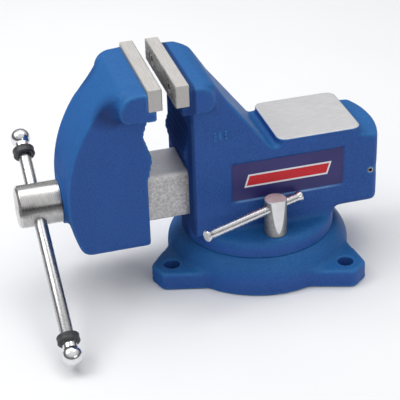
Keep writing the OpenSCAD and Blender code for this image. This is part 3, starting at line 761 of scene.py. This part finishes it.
def casting(name, field, lo, seed, rough_mask, body, material, node):
    """The surface of a field as a piece that stands for its CAD node."""
    field = field + wavy(field.shape, seed, WAVE_SIZE, WAVE_DEPTH) * rough_mask
    grid = vdb.FloatGrid()
    grid.transform = vdb.createLinearTransform(voxelSize=VOXEL)
    field = np.pad(field, 1, constant_values=BAND * VOXEL)
    grid.copyFromArray(field.astype(np.float32), ijk=tuple(int(c) - 1 for c in lo))
    points, tris, quads = grid.convertToPolygons(isovalue=0.0, adaptivity=0.0)
    loops = np.concatenate([np.asarray(quads).reshape(-1), np.asarray(tris).reshape(-1)]).astype(np.int32)
    sizes = [4] * len(quads) + [3] * len(tris)
    starts = (np.cumsum(sizes) - sizes).astype(np.int32)
    mesh = bpy.data.meshes.new(name)
    mesh.vertices.add(len(points))
    mesh.vertices.foreach_set("co", (np.asarray(points) * MM).astype(np.float32).ravel())
    mesh.loops.add(len(loops))
    mesh.loops.foreach_set("vertex_index", loops)
    mesh.polygons.add(len(starts))
    mesh.polygons.foreach_set("loop_start", starts)
    mesh.update(calc_edges=True)
    mesh.validate()
    obj = linked(name, mesh)
    clean_normals(obj)
    mesh.shade_smooth()
    return finish_piece(obj, body, material, [node])


def filled_holes(field, x, y, z, seat, sign):
    """The field with the plate screws' holes filled, since the screws fill them and the plates hide them."""
    hole_r, hole_deep = 5.0, 22.0
    depth = sign * (x - seat)
    for at in (-SCREW_Y, SCREW_Y):
        r = np.sqrt((y - at) ** 2 + (z - SCREW_Z) ** 2)
        field = np.minimum(field, np.maximum(r - hole_r, np.maximum(-depth, depth - hole_deep)))
    return field.astype(np.float32)


def rounded_end(field, x, y, z, front, sign, low, top, r_low, r_top, waist, reach):
    """Rounds a jaw head's outer corners, seen from its end, and flares the rounding into a cove.

    front is the corner's X and sign the way it faces. The cove runs from the waist to reach beyond it."""
    upper = z > (low + r_low + top - r_top) / 2
    r = np.where(upper, r_top, r_low)
    qx = sign * (x - front) + r
    qz = np.where(upper, z - (top - r), (low + r) - z)
    d = np.minimum(np.maximum(qx, qz), 0) + np.hypot(np.maximum(qx, 0), np.maximum(qz, 0)) - r
    t = np.clip((waist + reach - np.abs(y)) / reach, 0, 1)
    flare = reach * (1 - np.sqrt(1 - t * t)) + np.where(np.abs(y) < waist, 60, 0)
    return np.maximum(field, d - flare).astype(np.float32)


def cast_body():
    """Fixed jaw, column, anvil and turntable."""
    field, lo, (x, y, z) = solid_field("static_jaw")
    field = filled_holes(field, x, y, z, fixed_hi[0], 1)
    head = (z > 180) & (x > -81)
    field = np.where(head, rounded_end(field, x, y, z, **BODY_END), field)
    side = np.abs(y)
    sigma = 1.7 + 0 * (x + y + z)
    # the head
    sigma = blend_to(sigma, 2.0, smooth_step(z, 182, 194) * smooth_step(x, -79, -70))
    # the tail's end, and the foot above the turntable
    sigma = blend_to(sigma, 2.6, smooth_step(x, 97, 104) * smooth_step(z, 58, 62))
    sigma = blend_to(sigma, 2.9, inside(z, 44, 68, 6))
    # the plate's seat and the pipe jaw's teeth
    sigma = blend_to(sigma, 0.2, smooth_step(-x, 78.5, 80.5) * smooth_step(z, 199, 201.5))
    sigma = blend_to(sigma, 0.7, smooth_step(-x, 68, 72) * inside(z, 119.5, 197, 2) * (side < 38))
    # the anvil's machined top
    anvil = smooth_step(z, ANVIL_TOP - 3.6, ANVIL_TOP - 2) * (x > 4) * (z < ANVIL_TOP + 12)
    sigma = blend_to(sigma, 0.15, anvil)
    # the bore around the slide bar
    bore = (side < SLIDE_HALF + 2) * (z > SLIDE_Z0 - 1.5) * (z < SLIDE_Z1 + 1.5) * (x > -77.5)
    sigma = blend_to(sigma, 0.0, bore)
    # the label's recess
    recess = inside(side, BODY_SIDE - 3, BODY_SIDE + 2, 1) * inside(x, -43, 82) * inside(z, 78, 129)
    sigma = blend_to(sigma, 0.8, recess)
    # the lock nuts' seats and the tail pins' holes
    for _, sign in SIDES:
        r = np.sqrt(x**2 + (y - sign * LOCK_R) ** 2)
        sigma = blend_to(sigma, 0.5, (1 - smooth_step(r, 11.5, 15)) * (z > 44))
    r = np.sqrt((x - PIN_X) ** 2 + (z - AXIS_Z) ** 2)
    sigma = blend_to(sigma, 0.0, (1 - smooth_step(r, 4, 6)) * (side > 14))
    # the turntable's machined underside
    sigma = blend_to(sigma, 0.4, 1 - smooth_step(z, 36.5, 39))
    field = softened(field, sigma)
    rough = np.clip(sigma / 1.4, 0, 1) ** 1.5
    return casting("vise_body", field, lo, 11, rough, "body", casting_bare, "static_jaw")


def cast_jaw():
    """Moving jaw and hood, cut off where the bare slide bar starts."""
    field, lo, (x, y, z) = solid_field("dynamic_jaw")
    field = filled_holes(field, x, y, z, moving_lo[0], -1)
    head = (z > 186) & (x < -124)
    field = np.where(head, rounded_end(field, x, y, z, **JAW_END), field)
    side = np.abs(y)
    # a scooped hollow in front of each end, opening downwards and outwards
    scoop_z = COVE[2] + 1
    down = np.clip((scoop_z - z) / SCOOP_DROP, 0, 1)
    out, drop = side - 49.5 - 4 * down, z - scoop_z + SCOOP_DROP * down
    scoop = np.sqrt((x + COVE[0] + 1.5) ** 2 + out**2 + drop**2) - SCOOP_R
    field = np.maximum(field, -scoop).astype(np.float32)
    bar = np.maximum(
        np.maximum(HOOD_REAR - x, side - SLIDE_HALF - 3), np.maximum(60 - z, z - (SLIDE_Z1 + 1.3))
    )
    field = np.maximum(field, -bar).astype(np.float32)
    sigma = 1.5 + 0 * (x + y + z)
    # the head, the plate's seat, the ledge under it and the pipe jaw's teeth
    sigma = blend_to(sigma, 2.0, smooth_step(z, 186, 194) * smooth_step(-x, 124, 130))
    sigma = blend_to(sigma, 0.2, smooth_step(x, -123.5, -121.5) * smooth_step(z, 200, 202))
    sigma = blend_to(sigma, 1.0, smooth_step(x, -123.5, -121.5) * inside(z, 188, 200, 2))
    sigma = blend_to(sigma, 0.7, smooth_step(x, -128, -124) * inside(z, 119.5, 190, 2))
    # the channel and the seat of the screw's head
    sigma = blend_to(sigma, 0.4, (side < 19) * (z < CHANNEL_TOP + 2) * (x > -188))
    r = np.sqrt(y**2 + (z - AXIS_Z) ** 2)
    sigma = blend_to(sigma, 0.7, (1 - smooth_step(r, 24, 28)) * (x < -184))
    field = softened(field, sigma)
    field = np.maximum(field, -bar).astype(np.float32)
    rough = np.clip(sigma / 1.6, 0, 1) ** 1.5
    return casting("moving_jaw_casting", field, lo, 23, rough, "jaw", casting_blue, "dynamic_jaw")


def cast_base():
    """Swivel base with its three ears."""
    field, lo, (x, y, z) = solid_field("swivel_base")
    r = np.sqrt(x**2 + y**2)
    sigma = 1.8 + 0 * (x + y + z)
    # where the ears run into the ring, the machined ring, the ears' holes and the foot
    sigma = blend_to(sigma, 2.6, inside(z, 12, 26, 3) * inside(r, 84, 100, 3))
    sigma = blend_to(sigma, 0.2, 1 - smooth_step(r, 77.5, 80))
    for a in EAR_ANGLES:
        d = np.sqrt((x - EAR_R * math.cos(a)) ** 2 + (y - EAR_R * math.sin(a)) ** 2)
        sigma = blend_to(sigma, 0.7, 1 - smooth_step(d, 9.5, 12.5))
    sigma = blend_to(sigma, 0.5, 1 - smooth_step(z, 1.5, 4.5))
    field = softened(field, sigma)
    rough = np.clip(sigma / 1.6, 0, 1) ** 1.5
    return casting("base_casting", field, lo, 37, rough, "base", casting_blue, "swivel_base")


cast_body()
cast_jaw()
cast_base()


def slide_bar():
    """The bare machined bar behind the moving jaw, a channel open below, with rounded corners."""
    low, high, roof = SLIDE_Z0 - AXIS_Z, SLIDE_Z1 - AXIS_Z, CHANNEL_TOP - AXIS_Z
    outer = [(SLIDE_HALF, low), (SLIDE_HALF, high), (-SLIDE_HALF, high), (-SLIDE_HALF, low)]
    inner = [(-CHANNEL_HALF, low), (-CHANNEL_HALF, roof), (CHANNEL_HALF, roof), (CHANNEL_HALF, low)]
    start = ((CHANNEL_HALF + SLIDE_HALF) / 2, low)
    radii = [2.5, SLIDE_CORNER, SLIDE_CORNER, 2.5, 1.0, 5.0, 5.0, 1.0]
    outline = rounded([start, *outer, *inner, start], radii, 6)[:-1]
    bar = prism("slide_bar", outline, HOOD_REAR - 14, slide_end, 0.8, 30)
    # outline is in (Y, Z), raised along X
    transform(bar, Matrix(((0, 0, 1, 0), (1, 0, 0, 0), (0, 1, 0, AXIS_Z * MM), (0, 0, 0, 1))))
    clean_normals(bar)
    shade(bar, 30)
    return finish_piece(bar, "jaw", bar_iron)


slide_bar()

# ---- jaw plates and their screws

PITCH = 2.2
SERRATION = 0.55
MARGIN = 1.8
PLATE_EDGE = 0.6
HEXAGON_R = 3.1


def stations(length):
    """Grid lines across a plate: its chamfered edges and four to each serration."""
    n = int(round((length - 2 * MARGIN) / (PITCH / 4)))
    inner = np.linspace(MARGIN, length - MARGIN, n + 1)
    return np.concatenate([[0, PLATE_EDGE], inner, [length - PLATE_EDGE, length]])


def serrated_block(name, w, h, t):
    """A w by h plate, t thick along +Z, with a diamond-cut face at Z = 0 and chamfered edges."""
    edge = PLATE_EDGE
    us, vs = stations(w), stations(h)
    verts, faces = [], []
    for i, u in enumerate(us):
        for j, v in enumerate(vs):
            rim = i in (0, len(us) - 1) or j in (0, len(vs) - 1)
            field = min(u, w - u, v, h - v) > MARGIN + 0.01
            a, b = ((u + v) / PITCH) % 1.0, ((u - v) / PITCH) % 1.0
            groove = max(1 - 4 * min(a, 1 - a), 1 - 4 * min(b, 1 - b), 0) * SERRATION
            verts.append((u - w / 2, v, edge if rim else groove if field else 0.0))
    n, m = len(us), len(vs)
    for i in range(n - 1):
        for j in range(m - 1):
            faces.append((i * m + j, (i + 1) * m + j, (i + 1) * m + j + 1, i * m + j + 1))
    border = [i * m for i in range(n)] + [(n - 1) * m + j for j in range(1, m)]
    border += [i * m + m - 1 for i in range(n - 2, -1, -1)] + [j for j in range(m - 2, 0, -1)]
    k = len(border)
    for depth, inset in ((t - edge, 0.0), (t, edge)):
        for b in border:
            u, v, _ = verts[b]
            u, v = max(-w / 2 + inset, min(w / 2 - inset, u)), max(inset, min(h - inset, v))
            verts.append((u, v, depth))
    first, second = n * m, n * m + k
    for i in range(k):
        j = (i + 1) % k
        faces.append((border[i], first + i, first + j, border[j]))
        faces.append((first + i, second + i, second + j, first + j))
    faces.append(tuple(second + i for i in range(k)))
    return mesh_object(name, verts, faces)


def jaw_plate(name, node, body):
    """A gripping plate with two countersunk socket screws."""
    lo, hi = span(node)
    w, h, t = hi[1] - lo[1], hi[2] - lo[2], hi[0] - lo[0]
    plate = serrated_block(name, w, h, t)
    # local (u, v, depth) to the row frame: depth runs away from the gripping face
    fixed = node.startswith("static")
    face_x, sign = (lo[0], 1) if fixed else (hi[0], -1)
    seat = Matrix(((0, 0, sign, face_x * MM), (1, 0, 0, 0), (0, 1, 0, lo[2] * MM), (0, 0, 0, 1)))
    transform(plate, seat)
    clean_normals(plate)
    skin = rounded([(7.3, 0.5), (7.8, 0.8), (4.2, 4.3), (4.0, t + 6), (3.4, t + 7)], 0.25, 3)
    hexagon = arc(HEXAGON_R, [math.radians(60 * i) for i in range(6)])
    for side, side_sign in SIDES:
        seat = place(face_x, side_sign * SCREW_Y, SCREW_Z, (sign, 0, 0))
        sink = lathe("sink", [(0, -1), (8.1, -1), (8.1, 0.5), (4.6, 4.2), (4.6, t + 1), (0, t + 1)], 40)
        transform(sink, seat)
        cut(plate, sink)
        screw = lathe("jaw_screw", [(0, 0.5), *skin, (0, t + 7)], 40)
        cut(screw, prism("socket", hexagon, -1, 4.4))
        screw.name = f"{name}_screw_{side}"
        shade(screw, 30)
        transform(screw, seat)
        finish_piece(screw, body, oxide, [node.replace("jaw_plate", "plate_screws")])
    shade(plate, None)
    return finish_piece(plate, body, plate_steel, [node])


jaw_plate("fixed_plate", "static_jaw_plate", "body")
jaw_plate("moving_plate", "dynamic_jaw_plate", "jaw")

# ---- screw and handle

LEAD = 5.0
THREAD_R, ROOT_R = 11.0, 8.5
NECK_R = 12.0
HANDLE_HOLE_R = 6.4


def thread_rod(x0, x1):
    """The trapezoidal thread as one helical surface along X, with tapered ends."""
    per_turn, rows_per_lead = 40, 14
    rows = int((x1 - x0) / LEAD * rows_per_lead)
    verts, faces = [], []
    for i in range(rows + 1):
        x = x0 + (x1 - x0) * i / rows
        taper = min(1.0, (x - x0) / 2.0, (x1 - x) / 2.0)
        for k in range(per_turn):
            a = 2 * math.pi * k / per_turn
            phase = (x / LEAD - k / per_turn) % 1.0
            d = abs(phase - 0.5) * 2  # 0 at the crest's middle, 1 in the root
            rise = min(1.0, max(0.0, (0.68 - d) / 0.36))
            r = ROOT_R + (THREAD_R - ROOT_R) * rise * max(taper, 0.0)
            verts.append((x, r * math.cos(a), r * math.sin(a)))
    for i in range(rows):
        for k in range(per_turn):
            n = (k + 1) % per_turn
            faces.append((i * per_turn + k, i * per_turn + n, (i + 1) * per_turn + n, (i + 1) * per_turn + k))
    faces.append(tuple(range(per_turn)))
    faces.append(tuple(range(rows * per_turn, (rows + 1) * per_turn)))
    rod = mesh_object("screw_thread", verts, faces, 40)
    transform(rod, Matrix.Translation((0, 0, AXIS_Z * MM)))
    return finish_piece(rod, "screw", spindle_steel)


def handle_matrix():
    """Local +Z runs up the handle bar from the screw's axis."""
    return place(HANDLE_X, 0, AXIS_Z, (0, math.cos(HANDLE_TILT), math.sin(HANDLE_TILT)))


def screw_head():
    """The turned head with the handle's cross hole, a dished centre and a flat on top."""
    x0 = screw_lo[0]
    hub = HEAD_X1 - x0
    neck = collar_x0 - x0
    tip = [(0, 3.0), (2.2, 0.6), (2.8, 0.0)]
    chamfer = [(HEAD_R - 2.4, 0), (HEAD_R, 2.4)]
    shank = [(HEAD_R, hub), (NECK_R, hub), (NECK_R, neck), (ROOT_R, neck)]
    skin = rounded([tip[-1], *chamfer, *shank], [0.9, 0.9, 0.5, 0.4, 0.3], 4)
    profile = [*tip, *skin[1:], (ROOT_R, neck + 12), (0, neck + 12)]
    head = lathe("screw_head", profile, 128)
    transform(head, place(x0, 0, AXIS_Z, (1, 0, 0)))
    hole = lathe("hole", [(0, -30), (HANDLE_HOLE_R, -30), (HANDLE_HOLE_R, 30), (0, 30)], 48)
    transform(hole, handle_matrix())
    flat = prism("flat", round_rect(2 * HEAD_L, 24, 2, 3), HEAD_R - 0.5, HEAD_R + 5)
    transform(flat, place(x0 + HEAD_L / 2 - 3, 0, AXIS_Z, (0, 0.05, 1)))
    cut(head, hole, flat)
    shade(head, 32)
    bevel(head, 0.35, 45)
    return finish_piece(head, "screw", spindle_steel, ["spindle"])


screw_head()
thread_rod(collar_x0 + 1, screw_hi[0])

UP, DOWN = 79.0, 166.0  # from the screw's axis to the handle's two ends
BAR_R, KNOB_R, KNOB_NECK = 6.25, 10.0, 3.0
BUMPER_R, BUMPER_L = 11.0, 8.5
TENON_R, TENON_L = 4, 8  # the bar's turned-down ends inside the knobs


def knob(name, node, at, sign):
    """An acorn knob: a short neck, a ball and a small flat tip."""
    seat = at - KNOB_R - KNOB_NECK
    middle, top = KNOB_NECK + KNOB_R, KNOB_NECK + 2 * KNOB_R
    neck = [(0, 0.15), (6.4, 0.15), (6.9, 0.6), (6.95, KNOB_NECK - 0.6)]
    ball = arc(KNOB_R, [math.radians(a) for a in range(-46, 76, 6)], 0, middle)
    piece = lathe(name, [*neck, *ball, (1.9, top - 0.12), (0, top)], 64, 40)
    transform(piece, handle_matrix() @ place(0, 0, sign * seat, (0, 0, sign)))
    return finish_piece(piece, "handle", chrome, [node])


def bumper(name, node, at, sign):
    """A rubber ring with rounded rims and a shallow waist."""
    bore, mouth = BAR_R + 0.05, BAR_R + 0.6
    waist = (BUMPER_R - 0.5, BUMPER_L / 2)
    outline = [(bore, 0.3), (mouth, 0), (BUMPER_R, 0), waist, (BUMPER_R, BUMPER_L), (mouth, BUMPER_L)]
    profile = rounded([*outline, (bore, BUMPER_L - 0.3)], [0.3, 1.6, 6, 1.6, 0.3], 6)
    ring = ring_lathe(name, profile, 64, 35)
    seat = at - KNOB_R - KNOB_NECK - BUMPER_L
    transform(ring, handle_matrix() @ place(0, 0, sign * seat, (0, 0, sign)))
    return finish_piece(ring, "handle", black_rubber, [node])


def handle_bar():
    """The plain rod, with a tenon for the knob at each end."""
    up, down = UP - KNOB_R - KNOB_NECK, KNOB_R + KNOB_NECK - DOWN
    lower = [(0, down - TENON_L), (TENON_R, down - TENON_L), (TENON_R, down), (BAR_R, down)]
    upper = [(BAR_R, up), (TENON_R, up), (TENON_R, up + TENON_L), (0, up + TENON_L)]
    bar = lathe("handle_rod", rounded(lower + upper, [0.4, 0.2, 0.5, 0.5, 0.2, 0.4], 3), 64)
    transform(bar, handle_matrix())
    return finish_piece(bar, "handle", handle_steel, ["handle_bar"])


handle_bar()
knob("knob_upper", "handle_knob_upper", UP, 1)
knob("knob_lower", "handle_knob_lower", DOWN, -1)
bumper("bumper_upper", "handle_bumper_upper", UP, 1)
bumper("bumper_lower", "handle_bumper_lower", DOWN, -1)

# ---- swivel locks

FLAT_DEPTH = 2.9
FLAT_FOOT = 2.0
LOCK_IN = 32.0
LOCK_OUT = 85.0
LOCK_BAR_R, LOCK_END_R = 4.5, 5.7


def lock_matrix(sign):
    """Local frame of a lock: +Z up, +X along its bar's inner arm; sign is -1 near and 1 far."""
    turn = LOCK_TURN + (0 if sign < 0 else math.pi)
    return Matrix.Translation((0, sign * LOCK_R * MM, 0)) @ Matrix.Rotation(turn, 4, "Z")


def lock_nut(label, sign):
    """A turned barrel nut with its bar's cross hole and a leaning flat that faces straight out."""
    low, high = LOCK_SEAT, LOCK_SEAT + NUT_H
    profile = rounded([(0, low), (NUT_R, low), (NUT_R, high), (0, high)], [0.8, 1.3], 5)
    nut = lathe(f"lock_nut_{label}_turned", profile, 96)
    lean = math.atan(FLAT_DEPTH / (NUT_H - FLAT_FOOT))
    block_w, block_t, block_h, sunk = 40, 20, 60, 8
    block = prism("block", round_rect(block_w, block_t, 1, 2), 0, block_h)
    # the block's inner face passes through the nut's skin at the foot and leans in towards the top
    foot = Matrix.Translation((0, -NUT_R * MM, (LOCK_SEAT + FLAT_FOOT) * MM))
    shift = Matrix.Translation((0, -block_t / 2 * MM, -sunk * MM))
    outward = Matrix.Rotation(-LOCK_TURN, 4, "Z")
    transform(block, outward @ foot @ Matrix.Rotation(-lean, 4, "X") @ shift)
    hole_r = LOCK_BAR_R + 0.1
    hole = lathe("hole", [(0, -20), (hole_r, -20), (hole_r, 20), (0, 20)], 32)
    transform(hole, place(0, 0, LOCK_BAR_Z, (1, 0, 0)))
    cut(nut, block, hole)
    shade(nut, 30)
    bevel(nut, 0.3, 24)
    transform(nut, lock_matrix(sign))
    return finish_piece(nut, f"lock_{label}", nut_bright, [f"lock_nut_{label}"])


def tommy_bar(label, sign):
    """A thin bar whose ends are upset into trumpets."""
    ends = [(0, 0), (5.1, 0), (LOCK_END_R, 0.9), (5.55, 2.2), (4.8, 4.6), (LOCK_BAR_R, 6.6)]
    trumpet = rounded(ends, [0.4, 0.7, 4, 6], 4)
    outer = [(r, h - LOCK_OUT) for r, h in trumpet]
    inner = [(r, LOCK_IN - h) for r, h in reversed(trumpet)]
    bar = lathe(f"tommy_bar_{label}", outer + inner, 48, 40)
    transform(bar, lock_matrix(sign) @ place(0, 0, LOCK_BAR_Z, (1, 0, 0)))
    return finish_piece(bar, f"bar_{label}", bar_bright, [f"lock_bar_{label}"])


for label, sign in SIDES:
    lock_nut(label, sign)
    tommy_bar(label, sign)

# ---- label, pins and marks


PIN_R, PIN_BORE_R, PIN_L = 3.0, 1.8, 23.7
MARK_X, MARK_Z = -49.5, 160.0
COLUMN_Y, COLUMN_X = 47.0, -79.0  # the column's half width at its front
COLUMN_SLOPE = 5.0 / 43.0
DOT_PLACES = [(u, v) for u in (-5.6, 5.6) for v in (3.4, 0.0, -3.4)]


def name_plate():
    """The label's plate in the near side's recess."""
    w, h, t = label_hi[0] - label_lo[0], label_hi[2] - label_lo[2], label_hi[1] - label_lo[1]
    plate = prism("side_label", round_rect(w, h, 2.0), 0, t, 0.15)
    cx, cz = (label_lo[0] + label_hi[0]) / 2, (label_lo[2] + label_hi[2]) / 2
    seat = Matrix(((1, 0, 0, cx * MM), (0, 0, -1, label_hi[1] * MM), (0, 1, 0, cz * MM), (0, 0, 0, 1)))
    transform(plate, seat)
    clean_normals(plate)
    return finish_piece(plate, "body", film, ["nameplate"])


def roll_pins():
    """Two slotted spring pins, one from each side of the tail."""
    slot, steps = math.radians(20), 26
    sweep = [slot / 2 + (2 * math.pi - slot) * i / steps for i in range(steps + 1)]
    outline = arc(PIN_R, sweep) + arc(PIN_BORE_R, sweep[::-1])
    for label, sign in SIDES:
        pin = prism(f"roll_pin_{label}", outline, 0, PIN_L, 0.25, 35)
        end = pin_lo[1] if sign < 0 else pin_hi[1]
        transform(pin, place(PIN_X, end, AXIS_Z, (0, -sign, 0)))
        finish_piece(pin, "body", pin_steel, ["tail_pins"])


def foundry_marks():
    """Small raised casting dots and a bar on the column's near side, with no lettering."""
    slope = math.atan(COLUMN_SLOPE)
    dot = [(1.45, -1.2), (1.45, 0.4), (1.2, 0.8), (0.7, 1.05), (0, 1.15)]
    marks = [(f"foundry_dot_{i + 1}", u, v) for i, (u, v) in enumerate(DOT_PLACES)]
    for name, u, v in [*marks, ("foundry_bar", 0.0, 0.0)]:
        if name == "foundry_bar":
            mark = prism(name, round_rect(1.7, 8.0, 0.8), -1.2, 0.6, 0.35)
        else:
            mark = lathe(name, dot, 20)
        x = MARK_X + u
        y = -(COLUMN_Y - (x - COLUMN_X) * COLUMN_SLOPE)
        transform(mark, place(x, y, MARK_Z + v, (-math.sin(slope), -math.cos(slope), 0)))
        finish_piece(mark, "body", casting_blue)


name_plate()
roll_pins()
foundry_marks()

# ---- CAD nodes that stay as they are

KEPT = {  # node: its material and the width of its rounded edges
    "tail_plug": (plain_blue, 0.6),
    "spindle_nut": (iron, 0.5),
    "nut_bolt": (oxide, 0.4),
    "lock_bolt_near": (oxide, 0.5),
    "lock_bolt_far": (oxide, 0.5),
    "pivot_pin": (pin_steel, 0.6),
    "retaining_collar": (pin_steel, 0.5),
    "collar_pin": (pin_steel, 0.3),
}
for node, (material, width) in KEPT.items():
    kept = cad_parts[node]
    kept.data.materials.clear()
    kept.data.materials.append(material)
    bevel(kept, width, 50)

# ---- stage


def floor():
    """A large sheet of pale paper, in metres, a hair below the base."""
    n, half, below = 24, 3.5, -0.0002
    lines = [-half + 2 * half * i / n for i in range(n + 1)]
    row = n + 1
    verts = [(x, y, below) for x in lines for y in lines]
    squares = [i * row + j for i in range(n) for j in range(n)]
    faces = [(k, k + row, k + row + 1, k + 1) for k in squares]
    mesh = bpy.data.meshes.new("studio_floor")
    mesh.from_pydata(verts, [], faces)
    obj = linked("studio_floor", mesh)
    p = Paint("studio_paper", Specular_IOR_Level=0.1)
    tone = p.mix(p.vary(p.noise(3, 2)), (0.86, 0.865, 0.875), (0.885, 0.89, 0.895))
    obj.data.materials.append(p.done(tone, p.vary(p.noise(8, 2), 0.8, 0.9)))


def lamp(name, at, size, power, aim=(-0.06, 0, 0.10)):
    """A soft rectangular lamp at a point in metres, turned towards the vise."""
    data = bpy.data.lights.new(name, "AREA")
    data.shape, data.size, data.size_y = "RECTANGLE", size[0], size[1]
    data.energy = power
    obj = linked(name, data)
    obj.location = at
    obj.rotation_mode = "QUATERNION"
    obj.rotation_quaternion = (Vector(aim) - Vector(at)).to_track_quat("-Z", "Y")


def studio():
    """A world that is bright above and dim at the horizon, and three lamps."""
    world = bpy.data.worlds.new("studio")
    bpy.context.scene.world = world
    sky = Nodes(world)
    ramp, split = sky.node("ShaderNodeValToRGB"), sky.node("ShaderNodeSeparateXYZ")
    lift = sky.node("ShaderNodeMapRange")
    lift.inputs["From Min"].default_value = -1.0
    sky.link(sky.node("ShaderNodeTexCoord").outputs["Generated"], split.inputs["Vector"])
    sky.link(split.outputs["Z"], lift.inputs["Value"])
    sky.link(lift.outputs["Result"], ramp.inputs["Fac"])
    stops = ramp.color_ramp.elements
    stops[0].position, stops[0].color = 0.0, (0.8, 0.8, 0.8, 1)
    stops[1].position, stops[1].color = 1.0, (1.0, 1.0, 1.0, 1)
    for at, v in ((0.49, 0.30), (0.54, 0.12), (0.63, 0.16), (0.72, 0.50), (0.84, 0.85)):
        stop = stops.new(at)
        stop.color = (v, v, v * 1.02, 1)
    back = sky.node("ShaderNodeBackground")
    back.inputs["Strength"].default_value = 0.9
    sky.link(ramp.outputs["Color"], back.inputs["Color"])
    sky.link(back.outputs["Background"], sky.node("ShaderNodeOutputWorld").inputs["Surface"])
    lamp("key", (-1.05, 0.25, 1.25), (0.8, 0.8), 9)
    lamp("top", (0.15, 0.35, 1.6), (1.2, 0.8), 7)
    lamp("front", (0.5, -1.5, 0.7), (1.0, 0.4), 2.2)


def camera():
    """The photograph's view, as a pinhole fit to the vise's edges gives it."""
    data = bpy.data.cameras.new("photo_camera")
    data.sensor_width, data.lens = 36.0, 125.35
    data.clip_start, data.clip_end = 0.05, 20.0
    cam = linked("photo_camera", data)
    right, up, back = (0.9610, -0.2748, -0.0296), (0.1648, 0.4839, 0.8595), (-0.2218, -0.8307, 0.5104)
    turn = Matrix((right, up, back)).transposed().to_4x4()
    cam.matrix_world = Matrix.Translation((-0.37037, -1.16317, 0.78119)) @ turn
    bpy.context.scene.camera = cam


floor()
studio()
camera()
bpy.context.scene.view_settings.view_transform = "Standard"
